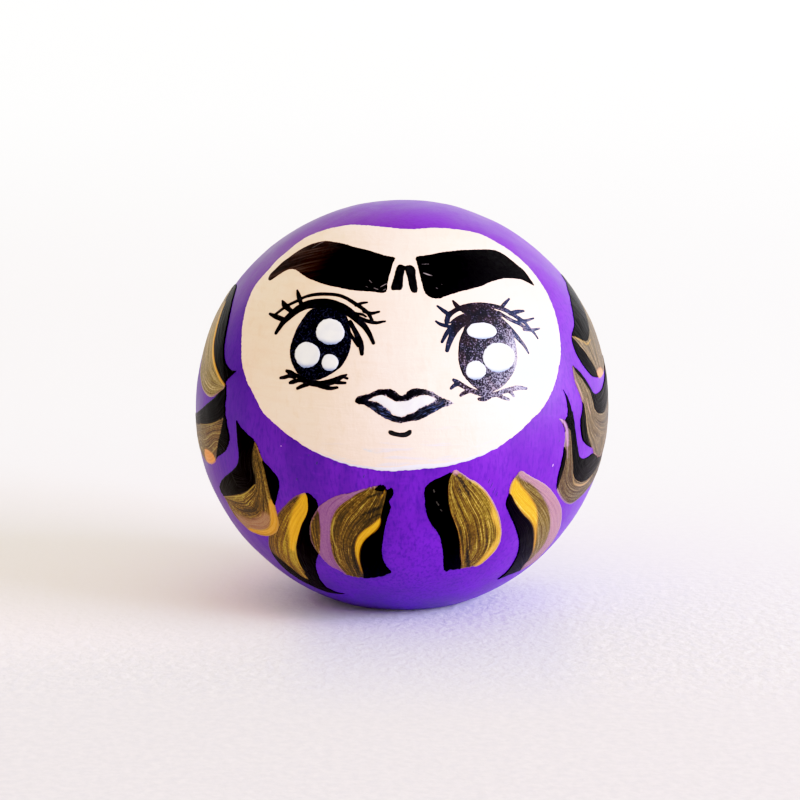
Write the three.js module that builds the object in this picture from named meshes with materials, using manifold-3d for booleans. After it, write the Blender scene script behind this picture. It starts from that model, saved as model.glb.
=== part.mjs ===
// Self-righting papier-mache ball doll with a painted face, millimetres, +Z up.
// Origin: centre of the flat foot it stands on. The face looks along -Y.
import * as THREE from 'three';
import { mergeVertices } from 'three/addons/utils/BufferGeometryUtils.js';
import Module from 'manifold-3d';

// ---- driving dimensions ----
const BALL_R = 27.5;             // radius of the finished painted ball
const FOOT_R = 9.3;              // radius of the flat paper foot
const CENTRE_Z = Math.sqrt(BALL_R ** 2 - FOOT_R ** 2); // ball centre above the floor
const HOLE_ANGLE = 21.53;        // half-angle of the open bottom of every paper and paint layer, degrees
const SHELL_IN_R = 25.2;         // papier-mache shell, inside
const SHELL_OUT_R = 27.0;        // papier-mache shell, outside
const SEAM_GAP = 0.3;            // saw cut between the front and rear half-shell
const STRIP_R = [27.08, 27.18];  // washi strip pasted over the cut
const STRIP_W = 6;
const GROUND_R = [27.24, 27.34]; // white chalk ground coat
const COLOUR_R = [27.40, BALL_R];// violet top coat
const FILM_1 = [27.56, 27.64];   // first painted layer: face panel, brush strokes
const FILM_2 = [27.70, 27.78];   // second layer: brows, irises, mouth, gold
const FILM_3 = [27.84, 27.92];   // third layer: pen lines and white eye lights
const DISC_T = 0.5;              // paper disc under the foot
const WEIGHT_R = 24.8;           // clay weight, radius of the side that follows the shell
const WEIGHT_BASE_R = 8.5;       // its flat underside
const WEIGHT_BASE_Z = 0.8;
const WEIGHT_TOP_Z = 11;
const GLUE_R = [24.9, 25.1];     // glue bed between weight and shell
const AROUND = 32;               // facets round the vertical axis
const RING = 11.25;              // ring spacing in latitude, degrees

// ---- outlines of the painted areas, [longitude, latitude] in degrees about the ball's centre;
//      longitude 0 is straight ahead (-Y) and grows towards +X ----
const OUT = {
  face: [[44.8, 11.1], [49.4, 16.9], [53.5, 23], [57.2, 31], [58.5, 34.5], [60.2, 41.6], [59.8, 50], [54, 59.2], [45.8, 63.5], [30.1, 66.3], [5.4, 66.7], [-1.4, 66.9], [-12, 67.6], [-34.1, 67.8], [-43.2, 66.9], [-54.6, 63.5], [-61.5, 58.5], [-62.7, 55.7], [-63.9, 48.9], [-64.1, 41.4], [-63.7, 38], [-59.8, 31.2], [-57.2, 27.4], [-52.3, 19.6], [-47.8, 13.9], [-42.7, 9.2], [-40.5, 6.8], [-37.6, 4.8], [-30.9, 1.3], [-24.9, -1.6], [-16.5, -4.5], [-8.4, -6.1], [-0.5, -6.4], [10, -5.6], [18.1, -4.1], [26.6, -1], [32.8, 2.4], [39.8, 6.8]],
  brow_l: [[-59.5, 43.9], [-58.4, 48.1], [-54.9, 53.3], [-52, 55.9], [-47.8, 57.8], [-43.6, 58.9], [-24, 57.6], [-7.8, 54.8], [-3, 53.9], [-5, 47], [-5.5, 42.4], [-6.4, 41.9], [-8.5, 41.9], [-15.1, 42.2], [-18.9, 42.4], [-27.1, 43.2], [-35.8, 44.6], [-47.8, 47.1], [-50.4, 46.7], [-56.2, 42.3], [-58.2, 42.5]],
  brow_r: [[54.6, 40.7], [50.1, 43.1], [42.6, 44.4], [34.4, 43.9], [30.3, 43], [25, 42.2], [12.4, 39.9], [10, 40.3], [8.7, 41.1], [7.8, 42.4], [6.7, 49.4], [6.2, 54.1], [14.1, 55.1], [23.5, 55.9], [34.4, 55.8], [45.9, 55], [49.4, 54.1], [51.4, 52.7], [52.9, 50.6], [55.1, 46.2]],
  mark_l: [[-1.1, 51.5], [1.4, 50.8], [1.1, 49.1], [-0.1, 43], [-1.8, 42.7], [-3.9, 43], [-2.7, 49.1], [-2.1, 50.7]],
  mark_r: [[3.4, 51.3], [4.7, 50.8], [5.6, 49.7], [5.7, 43.2], [5.2, 41.9], [3.5, 42.1], [2.7, 43.4], [1.5, 48.7], [1, 50.7]],
  mouth_o: [[-12.6, 11.6], [-11.3, 13.1], [-6.5, 14.9], [-2.8, 15.1], [0.2, 13.4], [2.2, 14.9], [4, 15.3], [7.5, 14.5], [13.7, 11.2], [9.5, 9.6], [4.5, 7.1], [0.4, 6.4], [-3.1, 7], [-10.1, 10.9], [-11.5, 11]],
  mouth_i: [[-8.7, 12.2], [-5.5, 13.5], [-1.9, 11.9], [1.6, 12.1], [4.5, 13.3], [6.4, 13.5], [9, 12.4], [3.3, 9.2], [0, 8], [-1.5, 8.1], [-5.7, 11.2]],
  chin: [[2.3, 4.4], [2.3, 3.6], [1.4, 2.9], [-1.8, 3], [-3.4, 3.8], [-3.3, 4.3], [-0.3, 3.8]],
  iris_l: [[-25.9, 16.3], [-23.6, 16.6], [-19.4, 18.7], [-17.2, 20.5], [-16, 22.6], [-15.1, 25], [-15, 27.3], [-16.7, 32.9], [-18.6, 35.2], [-22.2, 36.8], [-26.7, 37], [-29.8, 36.3], [-31.6, 35.2], [-33.8, 30.2], [-34.3, 27.4], [-33.9, 22.8], [-32.7, 20.7], [-29.8, 17.6], [-28, 16.7]],
  iris_r: [[23.6, 13.2], [25.9, 13.6], [28.2, 14.5], [30.3, 15.8], [33.9, 19.5], [34.9, 21.9], [35.4, 27.3], [34.6, 30], [33, 32.4], [30.3, 34.1], [26.9, 34.8], [23.2, 34.3], [20.7, 32.8], [17.5, 28.3], [16.1, 22.9], [17, 18.3], [18.3, 16.6], [21.5, 13.9]],
  A: [[-2.8, -11.1], [-2.3, -13], [-3.4, -14.8], [-3.2, -17.7], [-5.1, -24.4], [-6.1, -30.4], [-5.9, -35.2], [-3.6, -40.1], [-8, -42.5], [-11.5, -43.3], [-18.2, -42.8], [-20.6, -42], [-26.4, -37.1], [-28.5, -31.9], [-28.5, -26.5], [-26.4, -21.5], [-23.1, -17.3], [-17, -13.6], [-5.6, -10.3], [-4.4, -10.6], [-4, -11.5]],
  A_black: [[-13.9, -45.5], [-0.8, -44.9], [-0.5, -10.1], [-4.2, -11], [-6.3, -21.5], [-12.4, -28.9], [-13.8, -33.6]],
  B: [[14.1, -6.5], [19.7, -10], [23.4, -13.3], [28.7, -21.1], [31.9, -30.3], [30.6, -35], [27.4, -38.9], [16.9, -39.6], [15.9, -40.4], [14.6, -39.3], [11.3, -27], [7.2, -20], [6.1, -15.7], [6, -11.6], [8.6, -8.9]],
  B_gold: [[50.5, -48.1], [30, -7.3], [14.3, -5.5], [12.4, -10.7], [13, -16.5], [17.2, -27.1], [18.8, -33.8], [21.7, -41.3]],
  C: [[63.1, -44.5], [54.8, -47.2], [43.1, -48.6], [44.5, -44.2], [42.7, -36.9], [41, -33.5], [36.5, -27], [30.2, -18.2], [30.7, -11.9], [32.7, -9.1], [33.7, -8.6], [44.4, -14.5], [51.5, -20.2], [54.9, -23.4], [61.1, -31.1], [63.1, -34.8], [63.7, -38.1]],
  C_black: [[66.7, -54.7], [46.2, -52], [35.8, -38.1], [39.3, -34], [28.3, -17.9], [29.4, -14.7], [30.8, -14.6], [34.9, -19.6], [40.6, -24.3], [45.1, -29.5], [51, -37.8], [54.2, -45.5]],
  D: [[-26.7, -13.9], [-24, -15.6], [-23.8, -22], [-24.3, -26.1], [-25.9, -30.4], [-30.4, -37.7], [-32, -40.5], [-34.1, -46.6], [-34.1, -52], [-31.8, -53.5], [-27.6, -54.2], [-38.4, -55.3], [-47.2, -52.3], [-51.1, -49.8], [-52.9, -47], [-53.6, -44.2], [-51.5, -36.9], [-46, -29.7], [-39.3, -22.7], [-31.5, -16]],
  D_gold: [[-27.4, -13.9], [-26.8, -15], [-27.2, -19], [-32, -26.5], [-36.5, -33.9], [-39.4, -41.6], [-41.4, -48.1], [-54.1, -52.8], [-70.9, -44.3], [-49.1, -29.2], [-36.3, -17.4], [-28.9, -13.5]],
  E: [[-50.6, 3.3], [-42.9, -1.7], [-39.8, -7.1], [-36.1, -10.1], [-35.3, -11.5], [-35.5, -13.1], [-38.3, -19.1], [-38.5, -23.3], [-40.7, -27.7], [-47.3, -30.9], [-54.1, -31.4], [-57.3, -30.9], [-62.6, -27.1], [-64.4, -22.5], [-66.5, -19.8], [-65.4, -18.2], [-62.2, -15.9], [-51.1, -9.4], [-50, -7.5], [-49.8, -5.1]],
  E_black: [[-42.8, -0.7], [-44.1, -6.4], [-44, -13.2], [-45.5, -14.8], [-48.7, -16.6], [-58.6, -19.7], [-67.8, -21.9], [-76.9, -21.5], [-60.9, -13.3], [-52.7, -8.9], [-52.1, 4.1], [-48.9, 3.2]],
  E_lobe: [[-40.5, -6.6], [-37.9, -7.2], [-33.5, -10], [-34.2, -14.1], [-38.2, -19.3], [-38.9, -18.7], [-39.7, -11.4]],
  F: [[-53.5, -2.1], [-55.5, -5.8], [-58.7, -7.8], [-66.8, -12.2], [-70.9, -12.7], [-75.4, -12.2], [-80, -10.6], [-84.2, -8], [-87.4, -4.8], [-88.3, -2.4], [-86, -1.2], [-80, -0.2], [-73.6, 1.9], [-63.1, 6.9], [-57.1, 11.4], [-55.9, 8.9], [-55.9, 4.3]],
  F_gold: [[-92, -4.6], [-80, -3.2], [-74, -2.2], [-63.8, -0.3], [-56.7, 2.8], [-58, -1.6], [-63.2, -12], [-71, -16], [-82, -14]],
  G: [[-95, 41], [-90, 40.6], [-74.6, 33.5], [-68.2, 28.2], [-62.9, 20.3], [-58.6, 16.6], [-55.5, 15.8], [-52.7, 16.2], [-57, 12.6], [-57.1, 11], [-58, 9.9], [-63.3, 7.3], [-66, 6.8], [-70.7, 7.4], [-77.5, 10.5], [-81, 13.5], [-85, 18], [-88.5, 23], [-91.5, 28], [-96, 38]],
  G_gold: [[-100, 44], [-96, 39.5], [-86, 33.6], [-76.9, 26.3], [-72.7, 21], [-67, 16.3], [-57.7, 11.4], [-55, 9], [-66, 2], [-82, 6], [-98, 24]],
  H: [[63.2, 15.2], [66.8, 12.4], [73.9, 10.7], [81.6, 11.6], [86, 13.7], [90, 17.2], [93.5, 22], [96, 27], [97.8, 32], [97.4, 36.4], [93.6, 39.4], [89, 39.8], [80, 36.8], [71.6, 32.3], [65.7, 27.1], [61.6, 24.9], [60.2, 23.2], [60.4, 19.2]],
  H_gold: [[102, 38], [100, 24], [88, 10], [76, 8], [72, 11.4], [68, 17], [61.4, 24.4], [70.7, 21.7], [77.4, 24], [85, 29.7], [89, 33.4], [92, 37.5], [94, 42]],
  I: [[56.3, 17], [55.8, 13.8], [58.5, 5.8], [57, 2], [57.1, -0.8], [58.5, -3.8], [60.5, -5.3], [66.1, -7.7], [67.5, -9.2], [71.7, -11.1], [76, -11.8], [80.4, -11], [85, -8.2], [89, -3.8], [92, 2], [93.4, 8], [92.6, 12.6], [89.6, 14.5], [85.6, 13.3], [78.7, 9.4], [74.3, 7.8], [69.6, 7.2], [67, 7.5], [65.5, 8.5], [60, 14.4]],
  I_gold: [[98, 0], [86, -14], [70, -14], [64.9, -7.2], [60.9, -2.5], [58.8, 6.2], [54, 12], [56, 17.6], [58.2, 14], [63.6, 8.4], [65.4, 3.6], [67.6, 2], [74.9, 1.2], [84, 5], [95, 11.6]],
  J: [[49.7, 11.6], [50.6, 9.5], [50.6, 4.6], [49.7, 3.4], [46.9, 3.9], [48.9, 1.4], [49.4, -0.4], [49, -6.3], [48.1, -14.2], [48.7, -16.1], [50.8, -18.3], [56.7, -22], [60.5, -23], [64, -22.8], [77.7, -19.5], [82.2, -17.6], [85.2, -15.2], [86, -12.6], [83.6, -10.6], [79, -9.9], [70, -9.4], [59.8, -9.2], [57.7, -8.1], [55.1, -2.4], [53.8, 3.6], [51.3, 9.6]],
  J_gold: [[46, 5], [49.6, 3.2], [51, 3.4], [54.5, -10.1], [55.9, -13.3], [59.8, -15.8], [68.6, -16.7], [82, -12.8], [89, -12], [88, -18], [70, -27], [52, -23], [48.9, -17], [50.3, -6], [49.6, -4.4], [46, -2]],
};
// pen lines: [longitude, latitude, width in mm]
const PEN = {
  lid_l: [[[-41.0, 27.9, 0.47], [-39.8, 30.9, 0.80], [-36.0, 35.3, 1.13], [-29.9, 37.5, 1.27], [-22.4, 37.4, 1.20], [-16.2, 35.1, 1.00], [-11.4, 31.6, 0.67], [-8.4, 27.3, 0.40]]],
  crease_l: [[[-44.1, 33.0, 0.40], [-40.7, 36.0, 0.40], [-36.8, 38.2, 0.44], [-33.5, 39.7, 0.43], [-27.8, 40.6, 0.43], [-21.6, 40.4, 0.40], [-15.9, 38.4, 0.43], [-11.0, 35.7, 0.40], [-9.5, 33.7, 0.33]]],
  lash_l: [[[-39.8, 40.8, 0.20], [-38.4, 39.5, 0.53], [-35.8, 37.2, 0.53]], [[-44.0, 37.1, 0.20], [-42.3, 36.0, 0.67], [-38.5, 34.6, 0.53]], [[-46.8, 32.8, 0.27], [-43.7, 32.3, 0.59], [-39.9, 31.8, 0.60]], [[-15.5, 37.9, 0.40], [-13.9, 38.5, 0.35], [-11.9, 38.8, 0.21]], [[-12.4, 36.2, 0.40], [-10.0, 35.6, 0.45], [-7.5, 36.1, 0.27]], [[-14.1, 34.4, 0.40], [-8.1, 32.9, 0.40], [-5.3, 33.3, 0.21]], [[-16.4, 32.9, 0.53], [-13.4, 29.0, 0.67], [-11.5, 24.2, 0.45]], [[-16.6, 30.6, 0.27], [-14.5, 28.2, 0.32], [-12.9, 26.2, 0.19]], [[-15.3, 35.4, 0.40], [-12.9, 35.2, 0.29], [-11.5, 34.6, 0.19]]],
  low_l: [[[-30.2, 17.3, 0.40], [-25.6, 15.7, 0.67], [-20.8, 16.0, 0.80], [-16.7, 17.9, 0.48], [-15.4, 18.5, 0.21]], [[-33.7, 18.2, 0.35], [-32.3, 17.8, 0.60], [-30.5, 17.2, 0.53]], [[-35.3, 16.2, 0.32], [-32.5, 17.0, 0.45], [-30.8, 16.7, 0.40]], [[-32.1, 15.2, 0.29], [-29.4, 16.1, 0.43], [-27.5, 16.1, 0.40]], [[-29.5, 14.0, 0.32], [-28.2, 14.6, 0.45], [-26.4, 15.3, 0.45]], [[-25.3, 15.8, 0.40], [-19.8, 14.7, 0.45], [-17.7, 15.0, 0.27]], [[-20.0, 16.5, 0.40], [-17.7, 16.4, 0.40], [-15.5, 16.4, 0.27]], [[-17.8, 17.3, 0.40], [-16.5, 17.9, 0.32], [-15.1, 17.6, 0.24]]],
  lid_r: [[[13.1, 25.1, 0.43], [15.1, 29.0, 0.73], [19.4, 32.8, 1.07], [24.9, 34.2, 1.47], [30.3, 33.2, 1.33], [34.0, 30.3, 1.00], [37.0, 26.6, 0.59], [39.1, 22.5, 0.21]]],
  lid2_r: [[[11.8, 27.4, 0.29], [15.2, 31.4, 0.51], [20.1, 34.4, 0.53]]],
  crease_r: [[[14.1, 33.4, 0.48], [17.9, 36.3, 0.56], [23.1, 37.3, 0.61], [30.4, 36.9, 0.61], [36.4, 34.6, 0.59], [40.0, 32.0, 0.53], [42.3, 29.2, 0.43], [44.3, 26.0, 0.21]]],
  lash_r: [[[11.8, 37.7, 0.21], [13.8, 36.2, 0.48], [15.5, 34.9, 0.48]], [[17.5, 39.0, 0.21], [18.5, 37.5, 0.61], [19.6, 36.4, 0.53]], [[39.0, 38.2, 0.21], [36.2, 36.9, 0.40], [34.0, 35.7, 0.40]], [[42.8, 34.2, 0.24], [40.0, 34.2, 0.53], [36.9, 33.9, 0.53]], [[45.7, 31.7, 0.19], [42.2, 31.4, 0.35], [39.3, 31.5, 0.40]], [[46.5, 28.6, 0.19], [43.2, 28.5, 0.37], [40.1, 29.0, 0.35]], [[10.7, 33.3, 0.21], [12.1, 32.3, 0.40], [14.9, 31.6, 0.40]], [[14.2, 33.0, 0.53], [14.7, 34.4, 0.59], [15.8, 35.5, 0.53]], [[32.9, 34.6, 0.40], [39.3, 30.6, 0.45], [43.4, 28.1, 0.21]]],
  low_r: [[[14.2, 17.2, 0.32], [16.7, 15.5, 0.56], [20.8, 13.5, 0.59], [25.8, 12.7, 0.56], [30.6, 13.6, 0.56], [36.0, 13.3, 0.27]], [[13.3, 15.0, 0.29], [14.2, 15.7, 0.40], [15.4, 16.1, 0.40]], [[15.8, 13.1, 0.27], [16.9, 13.7, 0.43], [18.6, 14.2, 0.45]], [[21.0, 11.9, 0.35], [22.4, 11.7, 0.45], [23.9, 12.1, 0.40]], [[29.8, 11.0, 0.27], [28.1, 11.7, 0.40], [26.7, 12.4, 0.40]], [[31.5, 11.8, 0.27], [30.8, 12.8, 0.37], [29.9, 13.4, 0.40]]],
};
// white eye lights: centre [longitude, latitude], half-width and half-height in mm
const LIGHTS = {
  eye_light_left_upper: [-22.2, 29.7, 1.95, 1.85],
  eye_light_left_outer: [-28.4, 23.7, 1.7, 1.75],
  eye_light_left_lower: [-21.0, 21.6, 1.15, 1.2],
  eye_light_right_upper: [26.1, 29.4, 1.9, 1.0],
  eye_light_right_large: [29.7, 22.2, 2.25, 2.0],
  eye_light_right_lower: [21.8, 19.3, 1.35, 1.3],
};

const wasm = await Module();
wasm.setup();

const RAD = Math.PI / 180;
const dir = ([lon, lat]) => new THREE.Vector3(
  Math.sin(lon * RAD) * Math.cos(lat * RAD), -Math.cos(lon * RAD) * Math.cos(lat * RAD), Math.sin(lat * RAD));

function solid(geometry) {
  const g = geometry.index ? geometry.toNonIndexed() : geometry.clone();
  g.deleteAttribute('normal');
  g.deleteAttribute('uv');
  const m = mergeVertices(g, 1e-4);
  const p = m.attributes.position, idx = m.index.array, tri = [];
  let vol = 0;
  const a = new THREE.Vector3(), b = new THREE.Vector3(), c = new THREE.Vector3();
  for (let i = 0; i < idx.length; i += 3) {
    const [u, v, w] = [idx[i], idx[i + 1], idx[i + 2]];
    if (u === v || v === w || u === w) continue;
    tri.push(u, v, w);
    a.fromBufferAttribute(p, u); b.fromBufferAttribute(p, v); c.fromBufferAttribute(p, w);
    vol += a.dot(b.cross(c));
  }
  if (vol < 0) for (let i = 0; i < tri.length; i += 3) [tri[i + 1], tri[i + 2]] = [tri[i + 2], tri[i + 1]];
  return new wasm.Manifold(new wasm.Mesh({
    numProp: 3, vertProperties: new Float32Array(p.array), triVerts: new Uint32Array(tri) }));
}

function geometryOf(man) {
  const m = man.getMesh(), g = new THREE.BufferGeometry();
  g.setAttribute('position', new THREE.BufferAttribute(new Float32Array(m.vertProperties), 3));
  g.setIndex(new THREE.BufferAttribute(new Uint32Array(m.triVerts), 1));
  g.computeVertexNormals();
  return g;
}

// profile points of an arc of radius r; angles in degrees from straight down, on the common rings
function arc(r, from, to) {
  const list = [from];
  for (let k = 0; k <= 180 / RING; k++) {
    const t = k * RING;
    if (t > Math.min(from, to) + 1.2 && t < Math.max(from, to) - 1.2) list.push(t);
  }
  list.push(to);
  const inner = list.slice(1, -1).sort((x, y) => (from < to ? x - y : y - x));
  return [from, ...inner, to].map((t) => new THREE.Vector2(
    t === 180 || t === 0 ? 0 : r * Math.sin(t * RAD), CENTRE_Z - r * Math.cos(t * RAD)));
}
const turned = (profile) => solid(new THREE.LatheGeometry(profile, AROUND).rotateX(Math.PI / 2));
const layer = ([rIn, rOut]) => turned([...arc(rOut, 180, HOLE_ANGLE), ...arc(rIn, HOLE_ANGLE, 180)]);
const ball = (r) => turned(arc(r, 180, 0));
const box = (sx, sy, sz, x, y, z) => solid(new THREE.BoxGeometry(sx, sy, sz).translate(x, y, z));

const films = [FILM_1, FILM_2, FILM_3].map(([rIn, rOut]) => ball(rOut).subtract(ball(rIn)));

// local frame whose third axis points out of the ball at the middle of an area
function frameAt(points) {
  const n = new THREE.Vector3();
  for (const p of points) n.add(dir(p));
  n.normalize();
  const e1 = new THREE.Vector3(0, 0, 1).cross(n).normalize();
  const e2 = n.clone().cross(e1);
  return { n, e1, e2, flat: (p, r = BALL_R) => { const d = dir(p).multiplyScalar(r); return new THREE.Vector2(d.dot(e1), d.dot(e2)); } };
}
function prism(frame, flat) {
  const g = new THREE.ExtrudeGeometry(new THREE.Shape(flat), { depth: 30, bevelEnabled: false, steps: 1 });
  const m = new THREE.Matrix4().makeBasis(frame.e1, frame.e2, frame.n);
  m.setPosition(0, 0, CENTRE_Z);
  return solid(g.applyMatrix4(m));
}
// moves a flat outline out by d along its corner normals
function grown(flat, d) {
  const n = flat.length, area = THREE.ShapeUtils.area(flat), s = area > 0 ? 1 : -1;
  return flat.map((p, i) => {
    const a = flat[(i + n - 1) % n], b = flat[(i + 1) % n];
    const t1 = p.clone().sub(a).normalize(), t2 = b.clone().sub(p).normalize();
    const m = new THREE.Vector2(t1.y + t2.y, -t1.x - t2.x).normalize();
    const k = Math.max(0.5, m.dot(new THREE.Vector2(t1.y, -t1.x)));
    return p.clone().add(m.multiplyScalar(s * d / k));
  });
}
const area = (key, d = 0, frame = frameAt(OUT[key])) => {
  const flat = OUT[key].map((p) => frame.flat(p));
  return prism(frame, d ? grown(flat, d) : flat);
};
function penLine(frame, line) {
  const c = line.map(([lon, lat]) => frame.flat([lon, lat]));
  const left = [], right = [];
  c.forEach((p, i) => {
    const t = c[Math.min(i + 1, c.length - 1)].clone().sub(c[Math.max(i - 1, 0)]).normalize();
    const h = new THREE.Vector2(-t.y, t.x).multiplyScalar(Math.max(0.3, line[i][2]) / 2);
    left.push(p.clone().add(h));
    right.unshift(p.clone().sub(h));
  });
  return prism(frame, [...left, ...right]);
}
function penLines(keys, first) {
  const frame = frameAt(keys.flatMap((k) => PEN[k]).flat());
  const lines = keys.flatMap((k) => PEN[k]);
  let all = penLine(frame, lines[0]);
  for (const l of lines.slice(1)) all = all.add(penLine(frame, l));
  return largest(all.intersect(films[2]));
}
// keeps the one connected body when an outline's tip leaves a crumb behind
function largest(man) {
  const parts = man.decompose();
  return parts.reduce((a, b) => (a.volume() > b.volume() ? a : b));
}

const group = new THREE.Group();
group.name = 'ball_doll';
function piece(name, man, color, roughness, metalness = 0) {
  const mesh = new THREE.Mesh(geometryOf(man), new THREE.MeshStandardMaterial({ color, roughness, metalness }));
  mesh.name = name;
  group.add(mesh);
}

const PAPER = 0xd8cdb8, WASHI = 0xe8e0cf, CHALK = 0xf4f1ea, VIOLET = 0x6a2cc0, CREAM = 0xf6e3d3;
const BLACK = 0x0d0b0f, GOLD = 0xa9842c, WHITE = 0xf4f1f2, CLAY = 0x9b8268, GLUE = 0xcdb98c;

// ---- what the ball is made of ----
const shell = layer([SHELL_IN_R, SHELL_OUT_R]);
piece('front_shell', shell.intersect(box(80, 40, 80, 0, -20 - SEAM_GAP / 2, CENTRE_Z)), PAPER, 0.9);
piece('rear_shell', shell.intersect(box(80, 40, 80, 0, 20 + SEAM_GAP / 2, CENTRE_Z)), PAPER, 0.9);
piece('seam_strip', layer(STRIP_R).intersect(box(80, STRIP_W, 80, 0, 0, CENTRE_Z)), WASHI, 0.9);
const wTop = Math.acos((CENTRE_Z - WEIGHT_TOP_Z) / WEIGHT_R) / RAD;
piece('base_weight', turned([
  new THREE.Vector2(0, WEIGHT_BASE_Z), new THREE.Vector2(WEIGHT_BASE_R, WEIGHT_BASE_Z),
  ...arc(WEIGHT_R, HOLE_ANGLE, wTop), new THREE.Vector2(12, WEIGHT_TOP_Z + 0.7), new THREE.Vector2(0, WEIGHT_TOP_Z + 0.9)]), CLAY, 0.95);
const glueLoop = [...arc(GLUE_R[1], HOLE_ANGLE, 4 * RING), ...arc(GLUE_R[0], 4 * RING, HOLE_ANGLE)];
piece('weight_glue_bed', turned([...glueLoop, glueLoop[0].clone()]), GLUE, 0.5);
piece('foot_disc', turned([new THREE.Vector2(0, 0), new THREE.Vector2(FOOT_R, 0),
  new THREE.Vector2(FOOT_R, DISC_T), new THREE.Vector2(0, DISC_T)]), WASHI, 0.85);
piece('ground_coat', layer(GROUND_R), CHALK, 0.85);
piece('colour_coat', layer(COLOUR_R), VIOLET, 0.5);

// ---- the face ----
const film = (key, level) => largest(area(key).intersect(films[level]));
piece('face_panel', film('face', 0), CREAM, 0.6);
piece('brow_left', film('brow_l', 1), BLACK, 0.4);
piece('brow_right', film('brow_r', 1), BLACK, 0.4);
const markFrame = frameAt([...OUT.mark_l, ...OUT.mark_r]);
piece('brow_marks', largest(area('mark_l', 0.05, markFrame).add(area('mark_r', 0.05, markFrame)).intersect(films[1])), BLACK, 0.4);
piece('iris_left', film('iris_l', 1), BLACK, 0.4);
piece('iris_right', film('iris_r', 1), BLACK, 0.4);
piece('lash_lines_left', penLines(['lid_l', 'crease_l', 'lash_l']), BLACK, 0.4);
piece('lash_lines_right', penLines(['lid_r', 'lid2_r', 'crease_r', 'lash_r']), BLACK, 0.4);
piece('lower_lashes_left', penLines(['low_l']), BLACK, 0.4);
piece('lower_lashes_right', penLines(['low_r']), BLACK, 0.4);
for (const [name, [lon, lat, rx, ry]] of Object.entries(LIGHTS)) {
  const frame = frameAt([[lon, lat]]);
  const ring = new THREE.Shape().absellipse(0, 0, rx, ry, 0, Math.PI * 2).getPoints(10).slice(0, -1);
  piece(name, prism(frame, ring).intersect(films[2]), WHITE, 0.5);
}
const lipFrame = frameAt(OUT.mouth_o);
piece('mouth_outline', largest(area('mouth_o', 0, lipFrame).subtract(area('mouth_i', 0, lipFrame)).intersect(films[1])), BLACK, 0.4);
const lips = OUT.mouth_i.map((p) => lipFrame.flat(p));
const mid = lips.reduce((a, p) => a.add(p), new THREE.Vector2()).divideScalar(lips.length);
piece('mouth_white', prism(lipFrame, lips.map((p) => p.clone().sub(mid).multiplyScalar(0.84).add(mid))).intersect(films[1]), WHITE, 0.5);
piece('chin_mark', film('chin', 1), BLACK, 0.4);

// ---- ten double-loaded brush strokes, five each side: black base, gold on it ----
// over: the neighbour that was painted later, whose edge this one stops short of
const STROKES = [
  ['left_1', 'G', ['gold', 'G_gold']], ['left_2', 'F', ['gold', 'F_gold'], 'G'],
  ['left_3', 'E', ['black', 'E_black', 'E_lobe']], ['left_4', 'D', ['gold', 'D_gold'], 'A', 'E'],
  ['left_5', 'A', ['black', 'A_black']], ['right_5', 'B', ['gold', 'B_gold']],
  ['right_4', 'C', ['black', 'C_black'], 'J'], ['right_3', 'J', ['gold', 'J_gold'], 'I'],
  ['right_2', 'I', ['gold', 'I_gold']], ['right_1', 'H', ['gold', 'H_gold']],
];
for (const [name, key, [kind, ...parts], ...over] of STROKES) {
  const frame = frameAt(OUT[key]);
  const clear = (m) => over.reduce((x, k) => x.subtract(area(k, 0.35)), m);
  const base = clear(area(key, 0, frame));
  piece('stroke_' + name, largest(base.intersect(films[0])), BLACK, 0.4);
  let top = base;
  for (const p of parts) {
    const cut = area(p, 0, frame);
    top = kind === 'gold' ? top.intersect(cut) : top.subtract(cut);
  }
  piece('stroke_' + name + '_gold', largest(top.intersect(films[1])), GOLD, 0.4, 0.3);
}

export default group;
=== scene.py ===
import math

import bpy
import numpy as np
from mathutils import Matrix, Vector


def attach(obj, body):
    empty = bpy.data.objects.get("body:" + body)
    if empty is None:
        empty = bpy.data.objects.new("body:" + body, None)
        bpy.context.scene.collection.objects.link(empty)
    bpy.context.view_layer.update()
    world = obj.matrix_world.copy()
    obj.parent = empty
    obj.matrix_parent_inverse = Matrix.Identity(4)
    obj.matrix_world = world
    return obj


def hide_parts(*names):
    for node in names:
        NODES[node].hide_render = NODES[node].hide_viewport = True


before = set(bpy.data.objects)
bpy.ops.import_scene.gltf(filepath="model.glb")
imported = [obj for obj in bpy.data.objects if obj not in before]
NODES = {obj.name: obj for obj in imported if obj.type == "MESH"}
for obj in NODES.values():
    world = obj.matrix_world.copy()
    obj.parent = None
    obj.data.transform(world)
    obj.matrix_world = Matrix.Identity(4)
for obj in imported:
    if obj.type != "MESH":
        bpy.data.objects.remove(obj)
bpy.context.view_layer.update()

MM = 0.001
R = 27.5                       # outside radius of the violet coat, mm
FOOT_R = 9.3
CZ = math.sqrt(R * R - FOOT_R * FOOT_R)
HOLE = math.degrees(math.asin(FOOT_R / R))
CENTRE = np.array([0.0, 0.0, CZ])

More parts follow.
